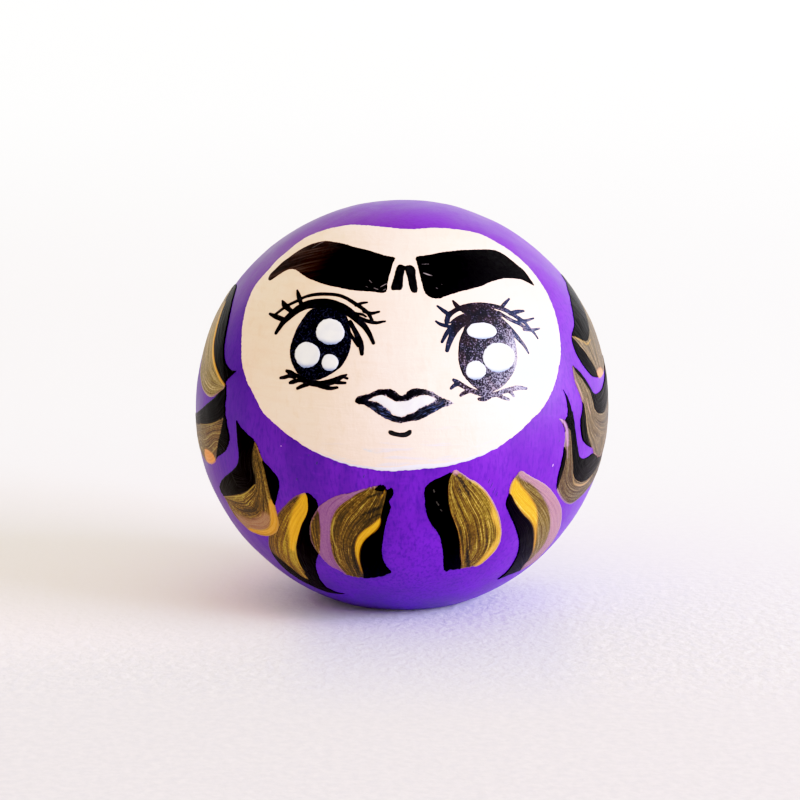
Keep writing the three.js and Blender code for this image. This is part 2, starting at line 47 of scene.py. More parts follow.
# Outlines on the ball as (longitude, latitude) in degrees: 0, 0 faces the front, +longitude is the front view's right.
OUT = {
    'face': [[44.79, 11.06], [47.06, 13.72], [49.42, 16.93], [51.8, 20.19], [53.54, 23.03], [55.44, 27.07], [57.21, 30.97], [58.55, 34.47], [59.56, 37.84], [60.17, 41.59], [60.13, 46], [59.83, 49.98], [58.49, 53.35], [56.44, 56.35], [54.02, 59.18], [50.51, 61.57], [45.79, 63.48], [39.84, 64.81], [30.15, 66.31], [19.7, 67.09], [12.39, 66.87], [5.42, 66.67], [-1.37, 66.9], [-12.05, 67.57], [-23.67, 68.03], [-34.15, 67.84], [-43.22, 66.9], [-49.2, 65.32], [-54.57, 63.49], [-58.83, 61.26], [-61.53, 58.54], [-62.7, 55.67], [-62.72, 53.08], [-63.95, 48.92], [-63.78, 45.19], [-64.1, 41.44], [-63.69, 37.96], [-62.03, 34.64], [-59.79, 31.23], [-57.21, 27.42], [-54.38, 22.92], [-52.32, 19.56], [-50.2, 16.55], [-47.76, 13.9], [-45.09, 11.56], [-42.71, 9.2], [-40.55, 6.8], [-37.55, 4.78], [-34.11, 2.91], [-30.89, 1.26], [-27.82, -0.3], [-24.87, -1.64], [-22.01, -2.74], [-19.21, -3.61], [-16.46, -4.52], [-13.76, -5.18], [-11.08, -5.68], [-8.42, -6.05], [-5.78, -6.31], [-3.15, -6.48], [-0.52, -6.35], [2.1, -6.11], [4.72, -5.96], [7.35, -5.8], [10.01, -5.64], [12.68, -5.26], [15.37, -4.73], [18.11, -4.08], [20.89, -3.28], [23.72, -2.21], [26.63, -0.99], [29.65, 0.59], [32.81, 2.39], [36.17, 4.54], [39.82, 6.76], [42.44, 8.7]],
    'brow_l': [[-59.5, 43.92], [-58.89, 45.78], [-58.36, 48.05], [-56.71, 50.53], [-54.94, 53.32], [-52.04, 55.92], [-47.81, 57.84], [-43.58, 58.88], [-37.35, 58.91], [-30.56, 58.48], [-24.04, 57.55], [-18.32, 56.89], [-12.9, 55.93], [-7.84, 54.79], [-5.01, 54.4], [-3.01, 53.88], [-3.86, 51.91], [-4.46, 49.4], [-5.03, 47], [-5.37, 44.68], [-5.52, 42.44], [-6.36, 41.9], [-8.49, 41.89], [-11.42, 42.2], [-15.08, 42.21], [-18.86, 42.38], [-22.88, 42.82], [-27.09, 43.22], [-31.72, 43.9], [-35.82, 44.59], [-39.94, 45.44], [-44.19, 46.51], [-47.79, 47.09], [-50.42, 46.72], [-53.51, 44.72], [-56.19, 42.34], [-58.25, 42.51]],
    'brow_r': [[54.62, 40.74], [52.27, 41.88], [50.13, 43.12], [46.98, 43.92], [42.62, 44.45], [38.52, 44.37], [34.38, 43.87], [30.33, 43.01], [25, 42.22], [20.92, 41.74], [17.71, 41.04], [15.01, 40.43], [12.4, 39.87], [10.03, 40.3], [8.74, 41.14], [7.85, 42.41], [7.56, 44.33], [7.11, 46.64], [6.74, 49.38], [6.44, 51.88], [6.25, 54.12], [10.64, 54.81], [14.06, 55.11], [18.25, 55.76], [23.46, 55.94], [28.9, 56.06], [34.36, 55.84], [40.09, 55.54], [45.89, 54.98], [49.4, 54.08], [51.38, 52.67], [52.87, 50.55], [53.96, 48.17], [55.09, 46.21], [55.14, 44.43], [55.01, 42.72]],
    'mark_l': [[-1.06, 51.49], [1.38, 50.84], [1.13, 49.08], [0.54, 47.03], [-0.07, 43.02], [-1.79, 42.7], [-3.88, 42.97], [-3.17, 47.02], [-2.7, 49.07], [-2.08, 50.66]],
    'mark_r': [[3.38, 51.33], [4.73, 50.82], [5.56, 49.74], [5.41, 47.67], [5.62, 45.33], [5.71, 43.23], [5.16, 41.91], [3.54, 42.06], [2.75, 43.42], [2.05, 47.02], [1.48, 48.73], [1.04, 50.73]],
    'mouth_o': [[-12.58, 11.63], [-12.08, 12.58], [-11.29, 13.13], [-9.67, 13.6], [-8.07, 14.14], [-6.47, 14.94], [-4.58, 15.13], [-2.83, 15.09], [0.16, 13.44], [2.15, 14.94], [4.04, 15.32], [5.93, 15.1], [7.54, 14.55], [10.72, 12.69], [13.71, 11.21], [12.81, 10.63], [11.17, 10.28], [9.53, 9.55], [7.64, 8.56], [4.45, 7.12], [2.09, 6.78], [0.39, 6.42], [-1.57, 6.5], [-3.14, 6.95], [-4.99, 7.84], [-6.85, 8.97], [-8.48, 10.1], [-10.11, 10.94], [-11.47, 11.05]],
    'mouth_i': [[-8.67, 12.18], [-7.22, 13.05], [-5.46, 13.55], [-3.73, 12.9], [-1.91, 11.93], [-0.27, 11.93], [1.59, 12.14], [2.93, 12.73], [4.54, 13.3], [6.42, 13.48], [8.02, 12.97], [9.03, 12.37], [7.71, 11.53], [4.49, 10.06], [3.29, 9.16], [1.84, 8.71], [0, 7.99], [-1.47, 8.14], [-2.68, 8.78], [-3.56, 9.81], [-4.63, 10.45], [-5.7, 11.21], [-6.92, 11.81]],
    'chin': [[2.35, 4.38], [2.34, 3.59], [1.43, 2.92], [-0.26, 2.76], [-1.82, 3.02], [-2.99, 3.38], [-3.44, 3.79], [-3.31, 4.32], [-2.61, 4.32], [-1.56, 3.91], [-0.26, 3.76], [1.04, 3.97], [1.82, 4.41]],
    'iris_l': [[-25.95, 16.31], [-23.56, 16.61], [-21.57, 17.41], [-19.37, 18.73], [-17.23, 20.49], [-15.96, 22.6], [-15.14, 25.01], [-15.04, 27.33], [-15.54, 29.8], [-16.75, 32.86], [-18.62, 35.23], [-22.21, 36.83], [-26.66, 37.01], [-29.78, 36.34], [-31.56, 35.17], [-32.82, 32.86], [-33.77, 30.18], [-34.26, 27.45], [-34.32, 24.94], [-33.89, 22.78], [-32.73, 20.72], [-31.18, 18.84], [-29.79, 17.63], [-28.03, 16.72]],
    'iris_r': [[23.6, 13.24], [25.89, 13.6], [28.16, 14.46], [30.27, 15.78], [32.24, 17.55], [33.91, 19.53], [34.89, 21.87], [35.39, 24.56], [35.44, 27.34], [34.62, 29.96], [33.01, 32.4], [30.32, 34.08], [26.9, 34.76], [23.17, 34.26], [20.71, 32.81], [18.86, 30.49], [17.48, 28.32], [16.52, 25.63], [16.06, 22.95], [16.33, 20.27], [16.98, 18.25], [18.26, 16.61], [19.83, 14.99], [21.47, 13.92]],
    'cl_l1': [[-17.58, 29.4], [-17.74, 28.4], [-18.3, 27.54], [-19.14, 26.87], [-20.18, 26.42], [-21.37, 26.23], [-22.64, 26.33], [-23.88, 26.66], [-25.05, 27.24], [-26.01, 28.04], [-26.62, 29.01], [-26.85, 30.03], [-26.77, 31.01], [-26.37, 31.93], [-25.59, 32.68], [-24.48, 33.18], [-23.17, 33.39], [-21.79, 33.3], [-20.46, 32.9], [-19.34, 32.21], [-18.47, 31.37], [-17.86, 30.42]],
    'cl_l2': [[-24.08, 23.3], [-24.11, 22.23], [-24.48, 21.26], [-25.2, 20.47], [-26.17, 19.94], [-27.29, 19.62], [-28.53, 19.61], [-29.75, 20.02], [-30.74, 20.78], [-31.49, 21.68], [-32.01, 22.68], [-32.16, 23.75], [-31.86, 24.76], [-31.19, 25.62], [-30.17, 26.23], [-28.91, 26.44], [-27.61, 26.28], [-26.39, 25.9], [-25.27, 25.28], [-24.44, 24.37]],
    'cl_l3': [[-18.14, 21.59], [-18.26, 20.71], [-18.71, 19.97], [-19.43, 19.45], [-20.32, 19.24], [-21.28, 19.29], [-22.18, 19.71], [-22.77, 20.45], [-23.05, 21.3], [-23.07, 22.16], [-22.68, 22.95], [-21.95, 23.5], [-21.02, 23.74], [-20.04, 23.57], [-19.19, 23.1], [-18.5, 22.44]],
    'cl_r1': [[29.79, 29.38], [29.33, 28.71], [28.36, 28.17], [27.08, 27.81], [25.64, 27.63], [24.14, 27.66], [22.72, 27.9], [21.48, 28.31], [20.51, 28.87], [20.01, 29.56], [20.04, 30.27], [20.5, 30.93], [21.3, 31.52], [22.49, 31.95], [23.97, 32.16], [25.55, 32.13], [27.08, 31.88], [28.35, 31.4], [29.22, 30.78], [29.71, 30.1]],
    'cl_r2': [[33.74, 21.84], [33.21, 20.78], [32.33, 19.85], [31.16, 19.13], [29.83, 18.66], [28.41, 18.44], [26.99, 18.49], [25.68, 18.89], [24.66, 19.62], [23.96, 20.54], [23.58, 21.57], [23.54, 22.66], [23.93, 23.75], [24.72, 24.73], [25.85, 25.52], [27.24, 26.06], [28.76, 26.23], [30.24, 26.06], [31.57, 25.61], [32.72, 24.94], [33.55, 24.04], [33.89, 22.97]],
    'cl_r3': [[23.82, 19.16], [23.41, 18.23], [22.61, 17.5], [21.6, 17.04], [20.48, 16.93], [19.39, 17.15], [18.46, 17.69], [17.97, 18.57], [17.95, 19.52], [18.25, 20.45], [18.94, 21.25], [19.98, 21.75], [21.16, 21.88], [22.27, 21.58], [23.09, 20.94], [23.65, 20.13]],
    'A': [[-2.77, -11.06], [-2.29, -11.8], [-2.28, -12.96], [-3.36, -14.81], [-3.32, -15.61], [-3, -16.26], [-3.25, -17.72], [-3.9, -19.57], [-4.53, -21.8], [-5.12, -24.42], [-5.66, -27.5], [-6.14, -30.38], [-6.19, -32.83], [-5.86, -35.19], [-5.04, -37.45], [-3.63, -40.07], [-5.15, -40.75], [-8, -42.47], [-11.48, -43.25], [-14.88, -43.21], [-18.23, -42.84], [-20.63, -41.95], [-22.54, -40.33], [-24.62, -39.26], [-26.42, -37.11], [-27.62, -34.44], [-28.48, -31.89], [-28.82, -29.38], [-28.48, -26.55], [-27.58, -23.77], [-26.39, -21.5], [-24.79, -19.19], [-23.13, -17.31], [-20.94, -15.7], [-19.06, -14.57], [-16.97, -13.6], [-14.68, -13.1], [-12.13, -12.21], [-9.64, -11.29], [-5.58, -10.26], [-4.39, -10.58], [-4, -11.54]],
    'A_mauve': [[-9.09, -10.99], [-11.29, -11.65], [-14.1, -12.77], [-16.94, -13.24], [-19.94, -14.64], [-23.21, -17.02], [-25.96, -20.38], [-28.15, -24.16], [-29.17, -27.67], [-29.17, -32.73], [-27.68, -36.45], [-25.09, -40.38], [-21.3, -42.7], [-20.22, -41.44], [-21.36, -39.04], [-22.16, -36.58], [-22.36, -33.8], [-22.19, -30.76], [-21.81, -27.85], [-21.21, -25.06], [-20.35, -22.03], [-19.3, -19.73], [-17.75, -17.46], [-15.72, -15.6], [-13.93, -14.31], [-12.18, -12.96], [-10.21, -11.89]],
    'A_lens': [[-24.55, -17.76], [-23.87, -19.22], [-23.9, -21.1], [-24.18, -24.04], [-24.92, -27.49], [-26.26, -31.23], [-27.77, -34.47], [-29.2, -34.66], [-30.55, -29.62], [-29.1, -23.95]],
    'A_black': [[-13.93, -45.48], [-0.76, -44.9], [-0.53, -10.09], [-4.15, -10.97], [-4.23, -12.23], [-4.47, -13.86], [-5.08, -16.24], [-5.64, -18.37], [-6.34, -21.52], [-7.3, -23.36], [-9.05, -25.02], [-11.01, -26.81], [-12.35, -28.85], [-13.3, -31.1], [-13.85, -33.61], [-13.91, -36.64], [-13.86, -40.56]],
    'A_gold': [[-6.04, -19.81], [-8.84, -22.25], [-11.01, -23.85], [-12.68, -25.61], [-13.89, -27.89], [-14.6, -30.45], [-14.82, -33.49], [-14.57, -36.69], [-14.38, -39.7], [-13.96, -41.03], [-13.75, -40.1], [-13.74, -36.63], [-13.51, -33.59], [-12.92, -31.07], [-12.07, -29.02], [-10.73, -27.01], [-8.77, -25.21], [-7.02, -23.48], [-6, -21.51]],
    'A_wedge': [[-4.27, -11.71], [-4.92, -12.24], [-5.17, -13.41], [-6.08, -14.95], [-5.13, -14.28], [-4.35, -12.98]],
    'A_tip': [[-7.35, -11.62], [-6.66, -10.74], [-5.57, -9.86], [-3.71, -10.11], [-4.01, -11.82], [-5.49, -12.08]],
    'B': [[14.15, -6.46], [16.43, -7.87], [17.94, -9.09], [19.7, -9.95], [21.54, -11.41], [23.44, -13.31], [25.19, -15.54], [26.93, -18.13], [28.65, -21.13], [30.19, -24.42], [31.35, -27.62], [31.92, -30.31], [31.62, -32.86], [30.58, -35.02], [29.1, -37.06], [27.36, -38.93], [24.95, -39.13], [22, -39.38], [19.12, -39.68], [16.9, -39.64], [15.85, -40.36], [14.57, -39.27], [13.65, -36.21], [12.96, -32.58], [12.14, -29.56], [11.34, -27.04], [10.14, -24.6], [8.52, -22.56], [7.22, -19.97], [6.43, -17.17], [6.13, -15.67], [6.23, -14.66], [5.91, -13.02], [6.04, -11.58], [6.65, -10.46], [8.59, -8.94], [10.08, -8.38], [11.67, -7.56], [13.27, -6.97]],
    'B_gold': [[50.53, -48.09], [30, -7.34], [14.31, -5.48], [13.81, -6.94], [13.13, -7.74], [12.68, -8.72], [12.44, -10.68], [12.54, -13.56], [13.03, -16.54], [13.81, -19.03], [14.93, -21.42], [16.18, -24.17], [17.19, -27.09], [18, -30.35], [18.81, -33.83], [19.98, -36.51], [21.72, -41.33]],
    'B_line': [[12.58, -13.27], [13.03, -16.54], [13.81, -19.03], [14.93, -21.42], [16.18, -24.17], [17.19, -27.09], [18, -30.35], [18.81, -33.83], [19.94, -36.34], [20.22, -34.36], [19.2, -30.46], [18.34, -27.18], [17.31, -24.06], [16, -21.05], [14.73, -18.47], [13.71, -15.98]],
    'B_right': [[17.77, -9.02], [19.7, -9.95], [21.54, -11.41], [23.44, -13.31], [25.19, -15.54], [26.93, -18.13], [28.65, -21.13], [30.19, -24.42], [31.35, -27.62], [31.92, -30.31], [31.62, -32.86], [30.58, -35.02], [29.1, -37.06], [27.36, -38.93], [25.32, -39.09], [26.54, -35.49], [28.01, -32.57], [29.17, -29.79], [29.16, -26.98], [27.89, -24.46], [25.84, -21.31], [25.29, -18.45], [24.27, -15.92], [22.78, -13.71], [20.81, -11.69], [18.98, -10.24]],
    'B_mauve': [[13.79, -6.28], [14.91, -7.06], [14.4, -7.97], [13.44, -7.09]],
    'C': [[63.09, -44.49], [59.43, -46.05], [54.78, -47.21], [48.77, -47.78], [45.07, -48.28], [43.06, -48.58], [43.93, -46.78], [44.48, -44.16], [43.67, -40.55], [42.67, -36.93], [41.03, -33.51], [38.88, -30.19], [36.53, -27.02], [33.8, -23.41], [31.5, -20.23], [30.23, -18.22], [30.02, -16.56], [30.44, -14.94], [30.51, -13.25], [30.69, -11.94], [31.6, -10.33], [32.73, -9.06], [33.65, -8.55], [35.82, -9.73], [38.51, -11.24], [41.39, -12.75], [44.35, -14.5], [47.76, -17.1], [51.51, -20.23], [54.94, -23.42], [57.9, -26.97], [61.09, -31.09], [63.09, -34.79], [63.72, -38.14], [63.33, -41.27]],
    'C_black': [[66.68, -54.68], [46.19, -52.01], [35.81, -38.13], [39.3, -33.96], [28.34, -17.87], [29.37, -14.7], [30.76, -14.57], [33.02, -17.54], [34.94, -19.64], [37.5, -22.03], [40.55, -24.33], [42.82, -26.51], [45.07, -29.53], [48, -33.72], [50.98, -37.84], [53, -41.62], [54.25, -45.53]],
    'C_yel': [[31.56, -10.04], [32.87, -11.06], [34.66, -13.01], [37.55, -15.77], [40.01, -18.24], [42.05, -20.73], [43.61, -23.54], [44.95, -26.75], [47.06, -30.26], [49.12, -33.58], [51.01, -36.65], [51.9, -38.04], [48, -33.72], [45.07, -29.53], [42.82, -26.51], [40.55, -24.33], [37.5, -22.03], [34.94, -19.64], [33.02, -17.54], [31.72, -15.87], [30.25, -14.21], [29.88, -11.85]],
    'C_mauve': [[32.57, -7.64], [33.04, -9.94], [35.04, -11.34], [37.73, -12.74], [40.88, -15.25], [44.34, -18.64], [47.91, -22.38], [51.12, -26.58], [53.61, -30.52], [55.8, -34.78], [56.19, -37.96], [55.14, -41.26], [53.81, -43.85], [64.31, -50.04], [72.62, -45.27], [77.17, -34.83], [54.73, -18.99], [42.47, -10.67]],
    'D': [[-26.73, -13.87], [-25.84, -14.13], [-24.84, -14.79], [-23.98, -15.6], [-23.78, -16.77], [-23.82, -18.91], [-23.76, -22.04], [-24.32, -26.06], [-25.87, -30.45], [-27.85, -34.09], [-28.83, -35.4], [-30.37, -37.67], [-31.95, -40.5], [-33.17, -43.67], [-34.08, -46.64], [-34.44, -49.45], [-34.06, -52.01], [-31.83, -53.52], [-27.59, -54.24], [-32.27, -55.21], [-38.35, -55.31], [-43.02, -53.98], [-47.23, -52.26], [-51.07, -49.8], [-52.94, -46.96], [-53.58, -44.17], [-52.89, -40.74], [-51.51, -36.92], [-49.02, -33.33], [-46.02, -29.71], [-42.56, -25.99], [-39.26, -22.69], [-36.8, -20.35], [-34.01, -17.98], [-31.54, -15.97], [-29.38, -14.76]],
    'D_gold': [[-27.35, -13.88], [-26.77, -14.99], [-26.81, -16.79], [-27.21, -18.96], [-28.31, -21.09], [-30.28, -23.78], [-31.96, -26.47], [-34.27, -30.16], [-36.5, -33.86], [-38.17, -37.72], [-39.37, -41.55], [-40.52, -45.36], [-41.41, -48.11], [-54.11, -52.82], [-70.87, -44.26], [-49.08, -29.25], [-36.31, -17.39], [-28.85, -13.46]],
    'D_yel': [[-27.1, -14.32], [-26.84, -16.19], [-27.21, -18.96], [-28.31, -21.09], [-30.28, -23.78], [-31.96, -26.47], [-34.27, -30.16], [-36.32, -33.44], [-38.16, -33.76], [-36.89, -30.58], [-35.39, -26.84], [-33.65, -22.94], [-31.48, -19.61], [-29.48, -17.09], [-28.54, -15.49], [-28.05, -14.37]],
    'D_edge': [[-27.37, -14], [-29.38, -14.76], [-31.54, -15.97], [-34.01, -17.98], [-36.8, -20.35], [-39.15, -22.8], [-37.97, -22.29], [-35.62, -20.05], [-32.91, -17.65], [-30.55, -15.9], [-28.64, -14.91]],
    'D_dark': [[-54.69, -37.07], [-51.44, -37.94], [-48.89, -39.85], [-46.4, -42.81], [-44.38, -47.19], [-41.43, -48.65], [-50.37, -58.36], [-65.93, -55.23], [-72.59, -45.51]],
    'E': [[-50.62, 3.31], [-49.7, 2.74], [-48.62, 1.66], [-45.96, 0], [-44.77, -0.37], [-43.69, -0.92], [-42.88, -1.67], [-42.03, -2.7], [-40.55, -6.06], [-39.8, -7.07], [-38.55, -7.9], [-37.31, -9.08], [-36.08, -10.1], [-35.34, -11.49], [-35.5, -13.13], [-36.23, -14.99], [-37.19, -16.91], [-38.32, -19.09], [-38.51, -23.34], [-39.11, -25.41], [-40.75, -27.71], [-43.59, -29.6], [-47.3, -30.88], [-50.78, -31.43], [-54.09, -31.4], [-57.27, -30.95], [-60.04, -29.26], [-62.6, -27.11], [-63.65, -24.72], [-64.36, -22.51], [-65.57, -21.08], [-66.46, -19.85], [-65.41, -18.22], [-62.21, -15.95], [-58.09, -13.72], [-53.97, -11.5], [-51.14, -9.41], [-49.99, -7.46], [-49.78, -5.08], [-50.03, -2.37], [-50.69, 1.89]],
    'E_black': [[-42.85, -0.75], [-42.9, -2.11], [-43.58, -4.13], [-44.07, -6.41], [-44.13, -9.22], [-43.95, -13.21], [-45.51, -14.81], [-48.73, -16.61], [-53.31, -18.3], [-58.58, -19.69], [-67.85, -21.88], [-76.89, -21.5], [-60.94, -13.34], [-52.73, -8.94], [-52.16, -2.71], [-52.15, 4.1], [-48.94, 3.24]],
    'E_lobe': [[-40.54, -6.56], [-37.9, -7.2], [-33.51, -10], [-34.19, -14.12], [-38.17, -19.31], [-38.87, -18.68], [-39.15, -16.6], [-39.44, -13.98], [-39.7, -11.41], [-40.09, -8.62]],
    'E_line': [[-66.28, -22.04], [-58.37, -20.27], [-53.17, -19], [-48.55, -17.3], [-44.87, -15.42], [-43.16, -13.67], [-43.7, -13], [-45.33, -14.78], [-48.73, -16.61], [-53.31, -18.3], [-58.58, -19.69], [-65.57, -21.39]],
    'E_orange': [[-39.36, -17.84], [-38.32, -19.09], [-38.51, -23.34], [-39.11, -25.41], [-40.75, -27.71], [-43.59, -29.6], [-47.3, -30.88], [-50.78, -31.43], [-54.09, -31.4], [-57.27, -30.95], [-55.75, -30.06], [-51.72, -29.99], [-46.9, -28.89], [-43.61, -27.19], [-41.76, -24.86], [-40.78, -21.79], [-40.27, -19.51]],
    'E_mauve': [[-41.54, -22.87], [-42.38, -25.62], [-45.54, -28.22], [-51.86, -30.16], [-57.61, -30.67], [-60.55, -29.09], [-61.01, -25.65], [-56.93, -26.1], [-51.89, -26.07], [-46.82, -24.11], [-43.3, -22.21]],
    'G': [[-88.5, 36.6], [-82.2, 36.9], [-79.1, 35.9], [-74.6, 33.5], [-70.9, 30.9], [-68.2, 28.2], [-66.2, 25.5], [-64.5, 22.9], [-62.9, 20.3], [-60.8, 18], [-58.6, 16.6], [-55.5, 15.8], [-52.7, 16.2], [-53.6, 15.2], [-55.8, 13.8], [-57, 12.6], [-57.1, 11], [-58, 9.9], [-60, 8.8], [-63.3, 7.3], [-66, 6.8], [-70.7, 7.4], [-74.1, 8.6], [-77.5, 10.5], [-81, 13.5], [-85, 18], [-88.5, 23], [-91.5, 28], [-94, 33]],
    'G_gold': [[-100, 44], [-96, 39.5], [-90.5, 36.4], [-86, 33.6], [-82.6, 31.2], [-79.7, 28.9], [-76.9, 26.3], [-74.6, 23.7], [-72.7, 21], [-70.1, 18.6], [-67, 16.3], [-63.7, 14.3], [-60.5, 12.6], [-57.7, 11.4], [-55, 9], [-66, 2], [-82, 6], [-98, 24]],
    'F': [[-53.5, -2.1], [-54, -3.8], [-55.5, -5.8], [-58.7, -7.8], [-61.6, -9.1], [-63.3, -10.6], [-66.8, -12.2], [-70.9, -12.7], [-75.4, -12.2], [-80, -10.6], [-84.2, -8], [-87.4, -4.8], [-88.3, -2.4], [-86, -1.2], [-80, -0.2], [-73.6, 1.9], [-67.9, 4.4], [-63.1, 6.9], [-59.9, 9.2], [-57.1, 11.4], [-55.9, 8.9], [-56, 6.8], [-55.9, 4.3], [-55, 2.3], [-54.2, 0.2]],
    'F_gold': [[-92, -4.6], [-86, -4], [-80, -3.2], [-74, -2.2], [-68.5, -1.3], [-63.8, -0.3], [-60.5, 0.8], [-58.2, 1.9], [-56.7, 2.8], [-57.1, 0.6], [-58, -1.6], [-59.4, -4], [-61, -7], [-62.3, -9.6], [-63.2, -12], [-71, -16], [-82, -14]],
    'H': [[63.2, 15.2], [65.1, 13.5], [66.8, 12.4], [70.8, 11.2], [73.9, 10.7], [77.1, 10.7], [81.6, 11.6], [86, 13.7], [90, 17.2], [93.5, 22], [96, 27], [97.8, 32], [97.4, 36.4], [93.6, 39.4], [89, 39.8], [84.5, 38], [80, 36.8], [76, 34.9], [71.6, 32.3], [68.6, 29.7], [65.7, 27.1], [61.6, 24.9], [60.2, 23.2], [60, 21.3], [60.4, 19.2], [61.6, 17.1]],
    'H_gold': [[102, 38], [100, 24], [88, 10], [76, 8], [72, 11.4], [70.5, 14], [68, 17], [66, 19.5], [63.5, 21.7], [61.4, 24.4], [64.4, 23.4], [67.4, 22.3], [70.7, 21.7], [73.1, 22.3], [77.4, 24], [81, 26.5], [85, 29.7], [89, 33.4], [92, 37.5], [94, 42]],
    'I': [[56.3, 17], [55.8, 13.8], [56.5, 11], [57.9, 8.1], [58.5, 5.8], [58, 4], [57, 2], [57.1, -0.8], [58.5, -3.8], [60.5, -5.3], [63.5, -6.7], [66.1, -7.7], [67.5, -9.2], [71.7, -11.1], [76, -11.8], [80.4, -11], [85, -8.2], [89, -3.8], [92, 2], [93.4, 8], [92.6, 12.6], [89.6, 14.5], [85.6, 13.3], [81.6, 11], [78.7, 9.4], [74.3, 7.8], [69.6, 7.2], [67, 7.5], [65.5, 8.5], [64, 10.2], [62, 12.5], [60, 14.4], [58.2, 15.8]],
    'I_gold': [[98, 0], [86, -14], [70, -14], [64.9, -7.2], [62.3, -4.8], [60.9, -2.5], [60.2, 0], [59.6, 3], [59.1, 5.4], [58.8, 6.2], [54, 12], [56, 17.6], [56.8, 15.6], [58.2, 14], [60.3, 12.1], [62.1, 10.1], [63.6, 8.4], [64.4, 6.2], [65.4, 3.6], [67.6, 2], [71.3, 1.2], [74.9, 1.2], [78.3, 2.3], [84, 5], [89, 8], [95, 11.6]],
    'J': [[49.7, 11.6], [50.6, 9.5], [50.7, 7], [50.6, 4.6], [49.7, 3.4], [46.9, 3.9], [48.9, 1.4], [49.4, -0.4], [49.5, -2.4], [49.1, -4.4], [49, -6.3], [48.4, -9.1], [48, -11.9], [48.1, -14.2], [48.7, -16.1], [50.8, -18.3], [53.4, -20.3], [56.7, -22], [60.5, -23], [64, -22.8], [68.1, -22.1], [72.8, -20.9], [77.7, -19.5], [82.2, -17.6], [85.2, -15.2], [86, -12.6], [83.6, -10.6], [79, -9.9], [74.3, -9.9], [70, -9.4], [65.9, -9.1], [63.1, -9.4], [59.8, -9.2], [57.7, -8.1], [56.2, -5.3], [55.1, -2.4], [54.2, 1.1], [53.8, 3.6], [52.8, 5.9], [51.3, 9.6]],
    'J_gold': [[46, 5], [49.6, 3.2], [51, 3.4], [51.6, 1], [52.1, -1.3], [52.8, -4.2], [53.5, -7.1], [54.5, -10.1], [55.9, -13.3], [59.8, -15.8], [63.7, -16.7], [68.6, -16.7], [72.9, -15.8], [76.2, -14.6], [82, -12.8], [89, -12], [88, -18], [70, -27], [52, -23], [48.9, -17], [49.5, -13], [50.2, -9], [50.3, -6], [49.6, -4.4], [46, -2]],
}
